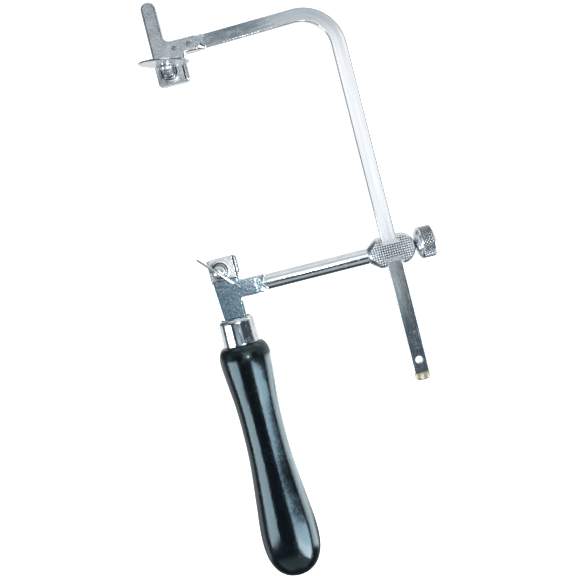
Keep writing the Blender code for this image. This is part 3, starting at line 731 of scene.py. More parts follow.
def cast_skin(mesh, seed):
    """Pebbles the cast surface inwards and marks the edges and sides, brighter than the faces: partly rubbed
    wear, partly a painted sheen.
    """
    rub_and_sheen = mesh.attributes.new("rub_and_sheen", "FLOAT", "POINT")
    normals = [v.normal.copy() for v in mesh.vertices]
    for i, vertex in enumerate(mesh.vertices):
        spot = vertex.co / PEBBLE_SIZE + Vector((seed, 0.0, 0.0))
        drop = 0.5 + 0.5 * noise.noise(spot) + 0.25 * noise.noise(spot * 2.3)
        edge = min(1.0, max(0.0, (RUB_AND_SHEEN_START - abs(normals[i].z)) / RUB_AND_SHEEN_FADE))
        rub_and_sheen.data[i].value = edge * (0.85 + 0.3 * noise.noise(vertex.co / RUB_AND_SHEEN_PATCH))
        vertex.co -= normals[i] * max(0.0, drop) * PEBBLE_DEPTH
    return mesh


def nose_root(end):
    """Where a cast arm's own outline stops, inside its sloped nose."""
    return end - CAST_NOSE_LENGTH + CAST_NOSE_OVERLAP


def sloped_nose(end, low, high):
    """The end of a cast arm: a rounded face that slopes down all round to a square foot."""
    low, high = low + CAST_NOSE_INSET, high - CAST_NOSE_INSET
    middle_y, half = (low + high) / 2.0, (high - low) / 2.0
    start, top = end - CAST_NOSE_LENGTH, CAST_HALF - CAST_NOSE_INSET
    heights = (-CAST_NOSE_CORNER, CAST_NOSE_CORNER)
    points = [(x, y, z) for x in (start, end) for y in (low, high) for z in heights]
    face = arc((end - CAST_NOSE_SLOPE - half, middle_y), half - CAST_NOSE_DRAFT, -90.0, 90.0, 16)
    for x, y in face + [(start, low + CAST_NOSE_DRAFT), (start, high - CAST_NOSE_DRAFT)]:
        points += [(x, y, -top), (x, y, top)]
    bm = bmesh.new()
    for point in points:
        bm.verts.new(point)
    bmesh.ops.convex_hull(bm, input=bm.verts)
    return bm


def through_hole(place, radius):
    return moved(lathe([(-2.0 * CAST_HALF, radius), (2.0 * CAST_HALF, radius)], "Z", 40), place[0], place[1])


def build_pin(name, node, body, place):
    radius, crown = PIN_RADIUS, 0.12 * MM
    top = CAST_HALF
    profile = [(-top, 0.0), (-top + 0.3 * crown, 0.6 * radius), (-top + crown, radius)]
    profile += [(top - crown, radius), (top - 0.3 * crown, 0.6 * radius), (top, 0.0)]
    piece(name, moved(lathe(profile, "Z", 32), *place), "pin", body, [node])


def build_head(side, body, outline, shaping, seed, socket, pins):
    """A cast head: shaped and pebbled, then bored for the clamp, the arm and each (name, node, place) pin."""
    solid = extruded(rounded_outline(outline), -CAST_HALF, CAST_HALF, CAST_EDGE)
    rough = cast_skin(combined(f"{side}_head_raw", solid, shaping, VOXEL), seed)
    bores = [through_hole(WINGS[side][0], SHANK_HOLE_RADIUS), socket]
    bores += [through_hole(place, PIN_RADIUS + 0.04 * MM) for _, _, place in pins]
    name = f"{side}_head_cast"
    mesh = combined(name, rough, [(CUT, bore) for bore in bores])
    piece(name, mesh, f"{side}_cast", body, [f"{side}_head"], 60.0, False)
    for pin, node, place in pins:
        build_pin(pin, node, body, place)


def build_lower_head():
    outline = [
        (STEM_LEFT, STEM_BOTTOM, 0.0),
        (STEM_RIGHT, STEM_BOTTOM, 0.0),
        (STEM_RIGHT, -BOSS_HALF_WIDTH, 0.0015),
        (nose_root(BOSS_END), -BOSS_HALF_WIDTH, 0.0),
        (nose_root(BOSS_END), BOSS_HALF_WIDTH, 0.0),
        (LOWER_LIP_LEFT, BOSS_HALF_WIDTH, 0.0006),
        (LOWER_LIP_LEFT, LOWER_LIP_BOTTOM, 0.0),
        (LOWER_LIP_RIGHT, LOWER_LIP_BOTTOM, 0.0),
        (LOWER_LIP_RIGHT, LOWER_JAW_TOP, JAW_CORNER),
        (LOWER_JAW_LEFT, LOWER_JAW_TOP, JAW_CORNER),
        (LOWER_JAW_LEFT, LOWER_RECESS_BOTTOM, JAW_CORNER),
    ]
    recess = block(
        (LOWER_JAW_LEFT - OVERCUT, LOWER_LIP_LEFT - 0.2 * MM),
        (LOWER_RECESS_BOTTOM, LOWER_JAW_TOP + OVERCUT),
        (JAW_FACE, CAST_HALF + OVERCUT),
    )
    tang = [(STEM_BOTTOM + 2 * MM, TANG_RADIUS), (TANG_END + 6 * MM, TANG_RADIUS), (TANG_END, 0.8 * MM)]
    shaping = [(CUT, recess), (JOIN, sloped_nose(BOSS_END, -BOSS_HALF_WIDTH, BOSS_HALF_WIDTH))]
    shaping += [(JOIN, lathe(tang, "Y", 32))]
    bore = ARM_SPIGOT_RADIUS + CLEARANCE
    socket = lathe([(ARM_SPIGOT_START - CLEARANCE, bore), (BOSS_END + 5 * MM, bore)], "X", 40)
    pins = [("lower_arm_pin_head", "lower_arm_pin", ARM_PIN)]
    build_head("lower", "handle_side", outline, shaping, 3.0, socket, pins)


def arm_place():
    """The upper arm's start, with X along the arm."""
    return Matrix.Translation((*UPPER_ARM_START, 0.0)) @ Matrix.Rotation(UPPER_ARM_SLOPE, 4, "Z")


def build_upper_head():
    outline = [
        (HORN_LEFT, UPPER_JAW_BOTTOM, JAW_CORNER),
        (UPPER_LIP_RIGHT, UPPER_JAW_BOTTOM, JAW_CORNER),
        (UPPER_LIP_RIGHT, HEAD_ARM_BOTTOM, 0.0020),
        (nose_root(HEAD_ARM_END), HEAD_ARM_BOTTOM, 0.0),
        (nose_root(HEAD_ARM_END), HEAD_ARM_TOP, 0.0),
        (HORN_RIGHT, HEAD_ARM_TOP, 0.0032),
        (HORN_RIGHT, HORN_TOP, 0.0038),
        (HORN_LEFT, HORN_TOP, 0.0038),
    ]
    recess = block(
        (HORN_LEFT - OVERCUT, UPPER_LIP_LEFT - 0.2 * MM),
        (UPPER_JAW_BOTTOM - OVERCUT, UPPER_RECESS_TOP),
        (JAW_FACE, CAST_HALF + OVERCUT),
    )
    shaping = [(CUT, recess), (JOIN, sloped_nose(HEAD_ARM_END, HEAD_ARM_BOTTOM, HEAD_ARM_TOP))]
    length = UPPER_ARM_START[0] - TONGUE_START + CLEARANCE
    width, thick = TONGUE_HALF_WIDTH + CLEARANCE, TONGUE_HALF_THICKNESS + CLEARANCE
    socket = block((-length, 5 * MM), (-width, width), (-thick, thick), arm_place())
    names = [(f"upper_head_pin_head_{i}", f"upper_head_pin_{i}") for i in (1, 2)]
    pins = [(*name, place) for name, place in zip(names, UPPER_PINS)]
    build_head("upper", "bow", outline, shaping, 11.0, socket, pins)


# ---------------------------------------------------------------- lower arm and slider

def build_rod():
    spigot, radius, chamfer = ARM_SPIGOT_RADIUS, ARM_RADIUS, 0.25 * MM
    start, shoulder, end = ARM_START, BARREL_START - CLEARANCE, BARREL_START + BARREL_SOCKET_DEPTH
    profile = [(ARM_SPIGOT_START, 0.0), (ARM_SPIGOT_START, spigot), (start, spigot)]
    profile += [(start, radius - chamfer), (start + chamfer, radius)]
    profile += [(shoulder - chamfer, radius), (shoulder, radius - chamfer)]
    profile += [(shoulder, spigot), (end, spigot), (end, 0.0)]
    tools = [(CUT, through_hole(ARM_PIN, PIN_RADIUS + 0.1 * MM))]
    mesh = combined("lower_arm", lathe(profile, "X", 72), tools)
    piece("lower_arm_polished", mesh, "rod", "handle_side", ["lower_arm_rod"])


def barrel_profile():
    dome_length = BARREL_END - BARREL_DOME_START
    sweep = BARREL_DOME_SWEEP
    profile = [(BARREL_START, 0.0), (BARREL_START, BARREL_NOSE_RADIUS - 0.2 * MM)]
    profile += [(BARREL_START + 0.2 * MM, BARREL_NOSE_RADIUS)]
    profile += [(BARREL_CONE_END - 1.2 * MM, 7.85 * MM), (BARREL_CONE_END - 0.6 * MM, 8.15 * MM)]
    profile += [(BARREL_CONE_END, BARREL_RADIUS)]
    for k in range(21):
        turn = sweep * k / 20
        along = BARREL_DOME_START + dome_length * math.sin(turn) / math.sin(sweep)
        drop = (1.0 - math.cos(turn)) / (1.0 - math.cos(sweep))
        profile.append((along, BARREL_RADIUS + (BARREL_TIP_RADIUS - BARREL_RADIUS) * drop))
    profile.append((BARREL_END, 0.0))
    return profile


def knurled_cutter(side):
    """A block above a flat whose lower face cuts a square grid of grooves into it."""
    x0, x1 = BARREL_START - 1 * MM, BARREL_END + 1 * MM
    y0, y1 = -BARREL_RADIUS - 1 * MM, BARREL_RADIUS + 1 * MM

    def stations(start, end):
        count = round((end - start) / FLAT_KNURL_PITCH)
        step = (end - start) / count
        spots = [(start + step * (k + part), part > 0.0) for k in range(count) for part in (0.0, 0.3, 0.7)]
        return spots + [(end, False)]

    bm = bmesh.new()
    columns, rows = stations(x0, x1), []
    for y, raised_row in stations(y0, y1):
        drops = [0.0 if raised and raised_row else FLAT_KNURL_DEPTH for _, raised in columns]
        rows.append([bm.verts.new((x, y, (BARREL_FLAT - z) * side)) for (x, _), z in zip(columns, drops)])
    top = (BARREL_RADIUS + OVERCUT) * side
    lids = [bm.verts.new((x, y, top)) for x, y in ((x0, y0), (x1, y0), (x1, y1), (x0, y1))]
    for row, above in zip(rows, rows[1:]):
        for i in range(len(columns) - 1):
            a, b, c, d = row[i], row[i + 1], above[i + 1], above[i]
            lone = [v for v in (a, b, c, d) if abs(v.co.z) > BARREL_FLAT - FLAT_KNURL_DEPTH / 2.0]
            split = len(lone) != 1 or lone[0] in (a, c)
            for corners in (((a, b, c), (a, c, d)) if split else ((a, b, d), (b, c, d))):
                bm.faces.new(corners)
    bm.faces.new(lids)
    bm.faces.new([*rows[0], lids[1], lids[0]])
    bm.faces.new([*[r[-1] for r in rows], lids[2], lids[1]])
    bm.faces.new([*rows[-1][::-1], lids[3], lids[2]])
    bm.faces.new([*[r[0] for r in rows][::-1], lids[0], lids[3]])
    return bm


def slot_mouth_cutter(side_y, side_z):
    """Cuts the lip at one of the slot's mouths, sloping outwards and down from the knurled flat."""
    low, high, far = SLOT_HALF - 0.2 * MM, BARREL_FLAT + 1 * MM, BARREL_RADIUS + OVERCUT
    slope = (SLOT_LIP_TOP - SLOT_LIP_FOOT) / (BARREL_FLAT - SLOT_LIP_HEIGHT)
    near = SLOT_LIP_TOP + slope * (high - BARREL_FLAT)
    section = [(SLOT_LIP_FOOT, low), (far, low), (far, high), (near, high), (SLOT_LIP_FOOT, SLOT_LIP_HEIGHT)]
    points = [(SLOT_LEFT, y * side_y, z * side_z) for y, z in section]
    return swept(points, (SLOT_RIGHT - SLOT_LEFT, 0.0, 0.0))


def mark_flat_grooves(mesh):
    """Marks how deep each corner of the knurled flats lies, for painted shade and dirt in the grooves, darker
    in the middle than at the ends.
    """
    mesh.attributes.remove(mesh.attributes["groove"])
    groove = mesh.attributes.new("groove", "FLOAT", "CORNER")
    for face in mesh.polygons:
        corners = [mesh.vertices[mesh.loops[i].vertex_index].co for i in face.loop_indices]
        depths = [(BARREL_FLAT - abs(c.z)) / FLAT_KNURL_DEPTH for c in corners]
        if min(depths) < -0.01 or max(depths) > 1.05:
            continue
        for i, corner, depth in zip(face.loop_indices, corners, depths):
            off = abs(corner.x - (SLOT_LEFT + SLOT_RIGHT) / 2.0) / (BARREL_END - BARREL_START)
            # darker towards the middle of the flats than at their ends
            dark_tone_mix = min(1.0, max(0.0, 1.6 - 3.6 * off))
            groove.data[i].value = 0.12 * dark_tone_mix + (0.55 + 0.33 * dark_tone_mix) * min(1.0, max(0.0, depth))
    return mesh


def build_barrel():
    far = BARREL_RADIUS + OVERCUT
    cutters = [knurled_cutter(side) for side in (1.0, -1.0)]
    cutters += [block((SLOT_LEFT, SLOT_RIGHT), (-far, far), (-SLOT_HALF, SLOT_HALF))]
    cutters += [slot_mouth_cutter(y, z) for y in (-1, 1) for z in (-1, 1)]
    bore, socket_end = ARM_SPIGOT_RADIUS + CLEARANCE, BARREL_START + BARREL_SOCKET_DEPTH + CLEARANCE
    cutters += [lathe([(BARREL_START - OVERCUT, bore), (socket_end, bore)], "X", 40)]
    hole = STUD_RADIUS + 0.4 * MM
    cutters += [lathe([(SLOT_RIGHT - 1 * MM, hole), (BARREL_END + OVERCUT, hole)], "X", 32)]
    tools = [(CUT, cutter) for cutter in cutters]
    mesh = mark_flat_grooves(combined("slider", lathe(barrel_profile(), "X", 96), tools))
    piece("slider_barrel_knurled", mesh, "barrel", "handle_side", ["slider_barrel"], 18.0, False)


# ---------------------------------------------------------------- spine

def spine_path():
    """(point, direction, half width) down the middle of the bar, from the upper head to the lower end."""
    slope = UPPER_ARM_SLOPE
    x0, y0 = UPPER_ARM_START
    centre_x = SPINE_X - BEND_RADIUS
    rise = (centre_x - BEND_RADIUS * math.sin(slope) - x0) * math.tan(slope)
    centre = Vector((centre_x, y0 + rise - BEND_RADIUS * math.cos(slope)))
    start_turn = math.pi / 2.0 + slope
    first = centre + BEND_RADIUS * Vector((math.cos(start_turn), math.sin(start_turn)))
    path = []
    arm = first - Vector(UPPER_ARM_START)
    for k in range(12):
        path.append((Vector(UPPER_ARM_START) + arm * k / 12, arm.normalized(), UPPER_ARM_HALF_WIDTH))
    for k in range(41):
        t = k / 40
        turn = start_turn * (1.0 - t)
        half = UPPER_ARM_HALF_WIDTH + (SPINE_HALF_WIDTH - UPPER_ARM_HALF_WIDTH) * t
        point = centre + BEND_RADIUS * Vector((math.cos(turn), math.sin(turn)))
        path.append((point, Vector((math.sin(turn), -math.cos(turn))), half))
    last = path[-1][0]
    drop = SPINE_END - last.y
    for k in range(1, 41):
        path.append((last + Vector((0.0, drop * k / 40)), Vector((0.0, -1.0)), SPINE_HALF_WIDTH))
    return path


def bar_section(half_width, half_thickness, edge, steps=3):
    """The bar's cross-section (across, up), its corners rounded, closed."""
    section = []
    for sx, sz, start in ((1, 1, 0.0), (-1, 1, 90.0), (-1, -1, 180.0), (1, -1, 270.0)):
        centre = (sx * (half_width - edge), sz * (half_thickness - edge))
        section += arc(centre, edge, start, start + 90.0, steps)
    return section


def bar_wear_and_dark_reflection(point, direction, across, half):
    """How worn the bar is and how strong its painted dark reflection, from 0 to 1: where the slider runs,
    stronger towards one edge there, and near the upper head.
    """
    lower = min(1.0, max(0.0, (2 * MM - point.y) / (12 * MM))) if direction.y < -0.9 else 0.0
    upper = min(1.0, max(0.0, (0.070 - point.x) / 0.020)) if direction.x > 0.5 else 0.0
    return max(lower * (0.72 + 0.28 * across / half), upper)


def build_spine():
    bm = bmesh.new()
    # wear, and the strength of the bar's painted dark reflection
    wear_and_dark_reflection = bm.verts.layers.float.new("wear_and_dark_reflection")
    uv_layer = bm.loops.layers.uv.new("along_bar")
    rings, runs, run, previous = [], [], 0.0, None
    for point, direction, half in spine_path():
        run += 0.0 if previous is None else (point - previous).length
        previous = point
        side = Vector((-direction.y, direction.x))
        ring = []
        for across, up in bar_section(half, BAR_HALF, BAR_EDGE):
            spot = point + side * across
            vertex = bm.verts.new((spot.x, spot.y, up))
            vertex[wear_and_dark_reflection] = bar_wear_and_dark_reflection(point, direction, across, half)
            ring.append(vertex)
        rings.append(ring)
        runs.append(run)
    across_of = [0.0]
    section = bar_section(SPINE_HALF_WIDTH, BAR_HALF, BAR_EDGE)
    for a, b in zip(section, section[1:] + section[:1]):
        across_of.append(across_of[-1] + math.dist(a, b))
    for k in range(len(rings) - 1):
        for i in range(len(section)):
            j = (i + 1) % len(section)
            face = bm.faces.new((rings[k][i], rings[k][j], rings[k + 1][j], rings[k + 1][i]))
            spots = ((runs[k], i), (runs[k], i + 1), (runs[k + 1], i + 1), (runs[k + 1], i))
            for loop, (along, column) in zip(face.loops, spots):
                loop[uv_layer].uv = (along, across_of[column])
    bm.faces.new(rings[0])
    bm.faces.new(rings[-1])
    width, thick = TONGUE_HALF_WIDTH, TONGUE_HALF_THICKNESS
    tongue = block((TONGUE_START - UPPER_ARM_START[0], 2 * MM), (-width, width), (-thick, thick), arm_place())
    shank, deep = END_SCREW_SHANK[0] + CLEARANCE, END_SCREW_SHANK[1] + 0.6 * MM
    holes = [through_hole(place, PIN_RADIUS + 0.1 * MM) for place in UPPER_PINS]
    holes += [through_hole(SPINE_HOLE, SPINE_HOLE_RADIUS)]
    holes += [moved(lathe([(-OVERCUT, shank), (deep, shank)], "Y", 24), SPINE_X, SPINE_END)]
    tools = [(JOIN, tongue)] + [(CUT, hole) for hole in holes]
    mesh = combined("spine", bm, tools)
    piece("spine_bar_drawn", mesh, "bar", "bow", ["spine_bar"])


def build_end_screw():
    radius, length = END_SCREW_RADIUS, END_SCREW_LENGTH
    flutes, depth = 30, 0.22 * MM

    def fluted(turn, along, at):
        if at < radius - 0.9 * MM:
            return at, 0.0
        # the flute depth darkens the colour as painted shade and dirt
        cut = triangle_wave(turn * flutes / (2.0 * math.pi)) ** 1.5
        return at - depth * cut, cut

    shank, reach = END_SCREW_SHANK
    profile = [(-length, 0.0), (-length + 0.05 * MM, 1.4 * MM), (-length + 0.25 * MM, 2.6 * MM)]
    profile += [(-length + 0.55 * MM, 3.4 * MM), (-length + 0.9 * MM, 3.85 * MM)]
    profile += [(-length + 1.3 * MM, radius)]
    profile += [(-0.9 * MM, radius), (-0.35 * MM, radius - 0.1 * MM), (-0.1 * MM, radius - 0.45 * MM)]
    profile += [(0.0, shank), (reach, shank), (reach, 0.0)]
    bm = moved(lathe(profile, "Y", flutes * 8, shape=fluted), SPINE_X, SPINE_END - CLEARANCE)
    piece("spine_end_screw_fluted", bm, "brass", "bow", ["spine_end_screw"], 20.0, False)


# ---------------------------------------------------------------- blade clamps

def build_plate(side, body):
    low, high = local_box(f"{side}_clamp_plate")
    corners = [(low.x, low.y), (high.x, low.y), (high.x, high.y), (low.x, high.y)]
    outline = rounded_outline([(x, y, PLATE_CORNER) for x, y in corners], 5)
    axis = WINGS[side][0]
    tools = [(CUT, through_hole(axis, SHANK_HOLE_RADIUS))]
    mesh = combined(f"{side}_plate", extruded(outline, low.z, high.z, 0.4 * MM, 3), tools)
    piece(f"{side}_clamp_plate_ground", mesh, "plate", body, [f"{side}_clamp_plate"])


def build_washer(side, body):
    outer, inner, low, high = WASHER_RADIUS, SHANK_HOLE_RADIUS, WASHER_LOW, WASHER_HIGH
    section = [(low, inner), (low, outer - 0.3 * MM), (low + 0.12 * MM, outer - 0.08 * MM)]
    section += [(low + 0.35 * MM, outer), (high - 0.35 * MM, outer), (high - 0.1 * MM, outer - 0.1 * MM)]
    section += [(high, outer - 0.35 * MM), (high, outer - 0.9 * MM), (high - 0.2 * MM, outer - 1.15 * MM)]
    section += [(high - 0.55 * MM, outer - 1.35 * MM), (high - 0.45 * MM, outer - 1.7 * MM)]
    section += [(high - 0.25 * MM, outer - 1.9 * MM)]
    section += [(high - 0.3 * MM, inner + 0.25 * MM), (high - 0.5 * MM, inner)]

    def dished(turn, along, radius):
        # painted shade in the dished ring and round the hole: the groove value darkens the colour there
        in_ring = outer - 1.75 * MM < radius < outer - 1.1 * MM
        return radius, 1.0 if in_ring or radius < inner + 0.3 * MM else 0.0

    bm = moved(lathe(section, "Z", 64, hollow=True, shape=dished), *WINGS[side][0])
    piece(f"{side}_clamp_washer_dished", bm, "steel", body, [f"{side}_clamp_washer"])


def thread_ridges(pitch, depth):
    def ridged(turn, along, radius):
        # the depth in the thread darkens the colour in the roots as painted shade and dirt
        wave = triangle_wave(along / pitch - turn / (2.0 * math.pi))
        return radius - depth * wave, 0.8 * wave
    return ridged


def build_wing_screw(side, body, turn_place, disc_place):
    """The slotted neck that holds the wing disc, and the threaded shank below it."""
    foot, rounding = WASHER_HIGH + CLEARANCE, 2.2 * MM
    start, stop = SHANK_END + 0.3 * MM, JAW_FACE + 2.4 * MM
    ridges = thread_ridges(WING_THREAD_PITCH, WING_THREAD_DEPTH)

    def threaded(angle, along, radius):
        return ridges(angle, along, radius) if start < along < stop else (radius, 0.0)

    waist = NECK_RADIUS - 0.25 * MM
    profile = [(SHANK_END, 0.0), (SHANK_END, SHANK_RADIUS - 0.5 * MM)]
    profile += [(start + (stop - start) * k / 60, SHANK_RADIUS) for k in range(61)]
    profile += [(foot, SHANK_RADIUS), (foot, NECK_RADIUS - 0.3 * MM), (foot + 0.3 * MM, NECK_RADIUS)]
    profile += [(foot + 1.6 * MM, NECK_RADIUS), (foot + 1.9 * MM, waist), (foot + 2.3 * MM, waist)]
    profile += [(foot + 2.6 * MM, NECK_RADIUS)]
    profile += arc((NECK_TOP - rounding, NECK_RADIUS - rounding), rounding, 90.0, 0.0, 12)
    profile += [(NECK_TOP, 0.0)]
    wide, slot_half = 3 * NECK_RADIUS, WING_HALF + 0.12 * MM
    slot = block((-wide, wide), (-slot_half, slot_half), (-WING_RADIUS - 0.3 * MM, 0.0), disc_place)
    screw = moved(lathe(profile, "Z", 48, shape=threaded), place=turn_place)
    mesh = combined(f"{side}_screw", screw, [(CUT, slot)])
    name, node = f"{side}_clamp_screw_turned", f"{side}_clamp_screw"
    piece(name, mesh, "steel", body, [node], 40.0, False)


def build_wing(side, body):
    axis, turn, lean = WINGS[side]
    turn_place = Matrix.Translation((*axis, 0.0)) @ Matrix.Rotation(turn, 4, "Z")
    disc_place = turn_place @ Matrix.Translation((0.0, 0.0, WING_HEIGHT)) @ Matrix.Rotation(lean, 4, "X")
    build_wing_screw(side, body, turn_place, disc_place)
    half, radius = WING_HALF, WING_RADIUS
    disc = [(-half + 0.1 * MM, 0.0), (-half + 0.08 * MM, 0.80 * radius), (-half, 0.88 * radius)]
    disc += [(-half, radius - 0.45 * MM), (-half + 0.12 * MM, radius - 0.14 * MM), (-0.25 * MM, radius)]
    disc += [(-along, across) for along, across in disc[::-1]]
    bm = moved(lathe(disc, "Y", 128), place=disc_place)
    piece(f"{side}_wing_disc_polished", bm, "disc", body, [f"{side}_wing_disc"])


def build_clamps():
    for side in ("upper", "lower"):
        build_plate(side, f"{side}_clamp")
        build_washer(side, f"{side}_clamp")
        build_wing(side, f"{side}_wing")


# ---------------------------------------------------------------- frame clamp screw

def build_frame_clamp():
    edge = 0.25 * MM
    pad = [(PAD_START, 0.0), (PAD_START, PAD_RADIUS - edge), (PAD_START + edge, PAD_RADIUS)]
    end = PAD_START + PAD_THICKNESS
    pad += [(end - edge, PAD_RADIUS), (end, PAD_RADIUS - edge), (end, 0.0)]
    piece("clamp_pad_turned", lathe(pad, "X", 40), "brass", "frame_pad", ["clamp_pad"])
    start, stop, lead = end + CLEARANCE, KNOB_START + KNOB_BORE_DEPTH - CLEARANCE, 0.3 * MM
    stud = [(start, 0.0), (start, STUD_RADIUS - 0.4 * MM)]
    stud += [(start + lead + (stop - start - lead) * k / 150, STUD_RADIUS) for k in range(151)]
    stud += [(stop, 0.0)]
    ridges = thread_ridges(THREAD_PITCH, THREAD_DEPTH)

    def threaded(turn, along, radius):
        return ridges(turn, along, radius) if radius == STUD_RADIUS else (radius, 0.0)

    bm = lathe(stud, "X", 32, shape=threaded)
    piece("clamp_stud_threaded", bm, "steel", "frame_screw", ["clamp_stud"], 60.0, False)
    build_knob()


def build_knob():
    around = round(2.0 * math.pi * KNOB_RADIUS / KNURL_PITCH)
    first, last, margin = KNOB_START + 3.1 * MM, KNOB_END - 2.3 * MM, 0.001 * MM

    def knurled(turn, along, radius):
        if not first < along < last:
            return radius, 0.0
        lead = (along - first) / KNURL_PITCH
        one = triangle_wave(turn * around / (2.0 * math.pi) + lead)
        other = triangle_wave(turn * around / (2.0 * math.pi) - lead)
        # the cut depth darkens the knurl's grooves as painted shade and dirt
        cut = max(one, other) ** 1.6
        return radius - KNURL_DEPTH * cut, min(1.0, max(0.0, 2.2 * cut - 0.7))

    bore, bore_end = STUD_RADIUS + CLEARANCE, KNOB_START + KNOB_BORE_DEPTH
    profile = [(bore_end, 0.0), (bore_end, bore), (KNOB_START, bore)]
    profile += [(KNOB_START + along, across) for along, across in KNOB_BEVEL]
    knurl_length = last - first - 2 * margin
    profile += [(first + margin + knurl_length * k / 44, KNOB_RADIUS) for k in range(45)]
    profile += [(KNOB_END - KNOB_DOME_LENGTH + along, across) for along, across in KNOB_DOME]
    profile += [(KNOB_END, KNOB_FACE_RADIUS), (KNOB_END, 0.0)]
    bm = lathe(profile, "X", around * 8, shape=knurled)
    piece("clamp_knob_knurled", bm, "knob", "frame_screw", ["clamp_knob"], 12.0, False)


# ---------------------------------------------------------------- studio

CAMERA_OFFSET = Vector((0.02293, 0.02754, 0.4215))
CAMERA_ROLL = math.radians(-14.22)

ROOM = (0.055, 0.070, 0.085)
BELOW = {"height": (-2.0, -0.02, 0.02)}
ROOM_LAYERS = (
    ({"pitch": (1.0, 24.0, 2.0), "height": (-0.1, 0.5, 0.1)}, (0.42, 0.46, 0.48)),
    ({"pitch": (22.0, 120.0, 4.0)}, (0.22, 0.26, 0.29)),
    ({"pitch": (22.0, 120.0, 4.0), "roll": (-3.0, 95.0, 3.0)}, (0.60, 0.64, 0.66)),
    ({"pitch": (58.0, 120.0, 10.0)}, (0.92, 0.94, 0.95)),
    ({"pitch": (-75.0, -38.0, 6.0), "height": (0.05, 2.0, 0.05)}, (0.46, 0.51, 0.53)),
    (BELOW, (0.84, 0.87, 0.88)),
    ({**BELOW, "roll": (-112.0, -80.0, 5.0)}, (0.10, 0.12, 0.13)),
    ({**BELOW, "roll": (-145.0, -80.0, 5.0), "pitch": (2.0, 60.0, 3.0)}, (0.12, 0.14, 0.15)),
    ({**BELOW, "roll": (95.0, 165.0, 8.0), "pitch": (-30.0, -8.5, 2.0)}, (4.2, 4.6, 4.8)),
    ({**BELOW, "pitch": (-90.5, -30.0, 4.0)}, (0.04, 0.05, 0.06)),
    ({"height": (-2.0, -0.60, 0.12), "pitch": (-90.5, -14.0, 5.0)}, (0.33, 0.37, 0.37)),
    ({"height": (-2.0, -0.955, 0.025)}, (0.86, 0.88, 0.89)),
)
WHITE = (1.0, 1.0, 1.0)
OVERHEAD_PANELS = (
    ("overhead_clamps", (-0.060, 0.012), (-0.006, 0.208), 1.05, WHITE),
    ("overhead", (0.012, 0.080), (-0.027, 0.208), 1.12, WHITE),
    ("overhead_spine", (0.080, 0.240), (-0.027, 0.216), 1.12, WHITE),
    ("overhead_horn", (-0.120, -0.022), (0.222, 0.330), 0.80, (0.92, 0.97, 1.0)),
    ("overhead_head", (-0.022, 0.016), (0.222, 0.262), 0.72, (0.88, 0.95, 1.0)),
    ("overhead_arm", (0.016, 0.074), (0.222, 0.262), 0.24, (0.70, 0.88, 1.0)),
    ("overhead_bend", (0.074, 0.110), (0.222, 0.270), 0.76, (0.86, 0.95, 1.0)),
    ("overhead_corner", (0.110, 0.220), (0.222, 0.270), 0.60, (0.86, 0.95, 1.0)),
    ("overhead_grip", (0.004, 0.130), (-0.095, -0.031), 0.27, (0.50, 0.78, 1.0)),
    ("overhead_face", (-0.160, 0.004), (-0.053, -0.031), 0.27, (0.50, 0.78, 1.0)),
    ("overhead_stem", (-0.160, 0.004), (-0.095, -0.053), 0.60, (0.75, 0.92, 1.0)),
    ("overhead_strip", (0.130, 0.1525), (-0.085, -0.048), 0.80, (0.90, 0.97, 1.0)),
)
SIDE_PANELS = (
    ("window_left", -0.450, (-0.300, -0.043), (0.040, 0.530), 5.6, (0.84, 0.94, 1.0)),
    ("window_right", 0.420, (-0.360, -0.210), (0.074, 0.940), 8.0, (0.72, 0.87, 1.0)),
    ("window_right_end", 0.420, (-0.620, -0.360), (0.074, 0.940), 10.0, (0.92, 0.97, 1.0)),
)
LAMP_CENTRE = (0.0568, -0.0016, 0.2165)
LAMP_DIAMETER = 0.028
LAMP_RADIANCE = 40.0
FLOOR_HALF_WIDTH = 6.0


def build_floor():
    n = Nodes("pale_floor", (0.9, 0.9, 0.9), 0.9, 0.0)
    n.set("Emission Color", (1.0, 1.0, 1.0, 1.0))
    n.set("Emission Strength", 1.0)
    bm = bmesh.new()
    bmesh.ops.create_grid(bm, x_segments=1, y_segments=1, size=FLOOR_HALF_WIDTH)
    floor = raw_object("studio_floor", bm)
    floor.data.materials.append(n.material)
    floor.location = (0.0, 0.0, -0.3 * MM)
    floor.visible_glossy = False


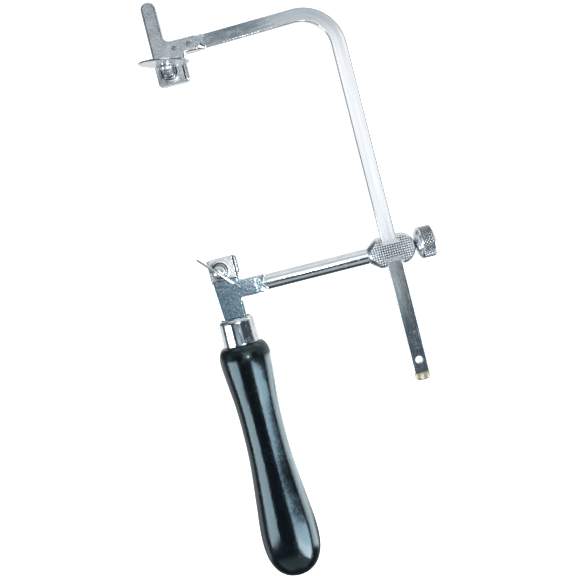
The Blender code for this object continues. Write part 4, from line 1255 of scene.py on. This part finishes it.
def build_world():
    """The studio around the object, by direction. Roll is the angle around Y from straight up towards +X,
    pitch the angle towards +Y, and height the sine of the elevation. Each layer covers the ones before it."""
    world = bpy.data.worlds.new("studio_room")
    bpy.context.scene.world = world
    world.use_nodes = True
    n = Tree(world.node_tree)
    axes = n.add("ShaderNodeSeparateXYZ")
    n.link(n.add("ShaderNodeTexCoord").outputs["Generated"], axes.inputs[0])
    x, y, z = axes.outputs
    measures = {
        "roll": n.maths("DEGREES", n.maths("ARCTAN2", x, z)),
        "pitch": n.maths("DEGREES", n.maths("ARCSINE", y)),
        "height": z,
    }

    def window(value, low, high, soft):
        rise = n.span(value, low - soft, low + soft, 0.0, 1.0, "SMOOTHSTEP")
        fall = n.span(value, high - soft, high + soft, 1.0, 0.0, "SMOOTHSTEP")
        return n.maths("MULTIPLY", rise, fall)

    layered = ROOM
    for windows, colour in ROOM_LAYERS:
        mask = 1.0
        for key, limits in windows.items():
            mask = n.maths("MULTIPLY", mask, window(measures[key], *limits))
        layered = n.mix(mask, layered, colour)
    background = n.tree.nodes["Background"]
    n.link(layered, background.inputs["Color"])
    seen = n.add("ShaderNodeBackground")
    seen.inputs["Color"].default_value = (*WHITE, 1.0)
    mix = n.add("ShaderNodeMixShader")
    n.link(n.add("ShaderNodeLightPath").outputs["Is Camera Ray"], mix.inputs["Fac"])
    n.link(background.outputs[0], mix.inputs[1])
    n.link(seen.outputs[0], mix.inputs[2])
    n.link(mix.outputs[0], n.tree.nodes["World Output"].inputs["Surface"])


def panel(name, centre, size, tilt, radiance, colour, shape="RECTANGLE"):
    """A soft box that shines straight down, turned around Y by tilt. The centre is from the datum."""
    light = bpy.data.lights.new(name, "AREA")
    light.shape = shape
    light.size, light.size_y = size
    area = size[0] * size[1] * (math.pi / 4.0 if shape == "ELLIPSE" else 1.0)
    light.energy = radiance * math.pi * area
    light.color = colour
    lamp = bpy.data.objects.new(name, light)
    bpy.context.scene.collection.objects.link(lamp)
    lamp.location = DATUM + Vector(centre)
    lamp.rotation_euler = (0.0, tilt, 0.0)
    lamp.visible_camera = False


def build_lights():
    for name, (x0, x1), (y0, y1), radiance, colour in OVERHEAD_PANELS:
        centre = ((x0 + x1) / 2.0, (y0 + y1) / 2.0, CAMERA_OFFSET.z)
        panel(name, centre, (x1 - x0, y1 - y0), 0.0, radiance, colour)
    for name, x, (y0, y1), (z0, z1), radiance, colour in SIDE_PANELS:
        centre = (x, (y0 + y1) / 2.0, (z0 + z1) / 2.0)
        panel(name, centre, (z1 - z0, y1 - y0), math.copysign(math.pi / 2.0, x), radiance, colour)
    panel("round_lamp", LAMP_CENTRE, (LAMP_DIAMETER, LAMP_DIAMETER), 0.0, LAMP_RADIANCE, WHITE, "ELLIPSE")


def build_camera():
    data = bpy.data.cameras.new("camera")
    data.lens = 50.0
    data.sensor_width = 36.0
    data.shift_x = 0.0519
    data.shift_y = -0.1007
    data.clip_start, data.clip_end = 0.01, 20.0
    camera = bpy.data.objects.new("camera", data)
    camera.location = DATUM + CAMERA_OFFSET
    camera.rotation_euler = (0.0, 0.0, CAMERA_ROLL)
    bpy.context.scene.collection.objects.link(camera)
    bpy.context.scene.camera = camera


# ---------------------------------------------------------------- assembly

build_handle()
build_ferrule()
build_lower_head()
build_upper_head()
build_rod()
build_barrel()
build_spine()
build_end_screw()
build_clamps()
build_frame_clamp()
build_floor()
build_world()
build_lights()
build_camera()
bpy.context.scene.view_settings.view_transform = "Standard"
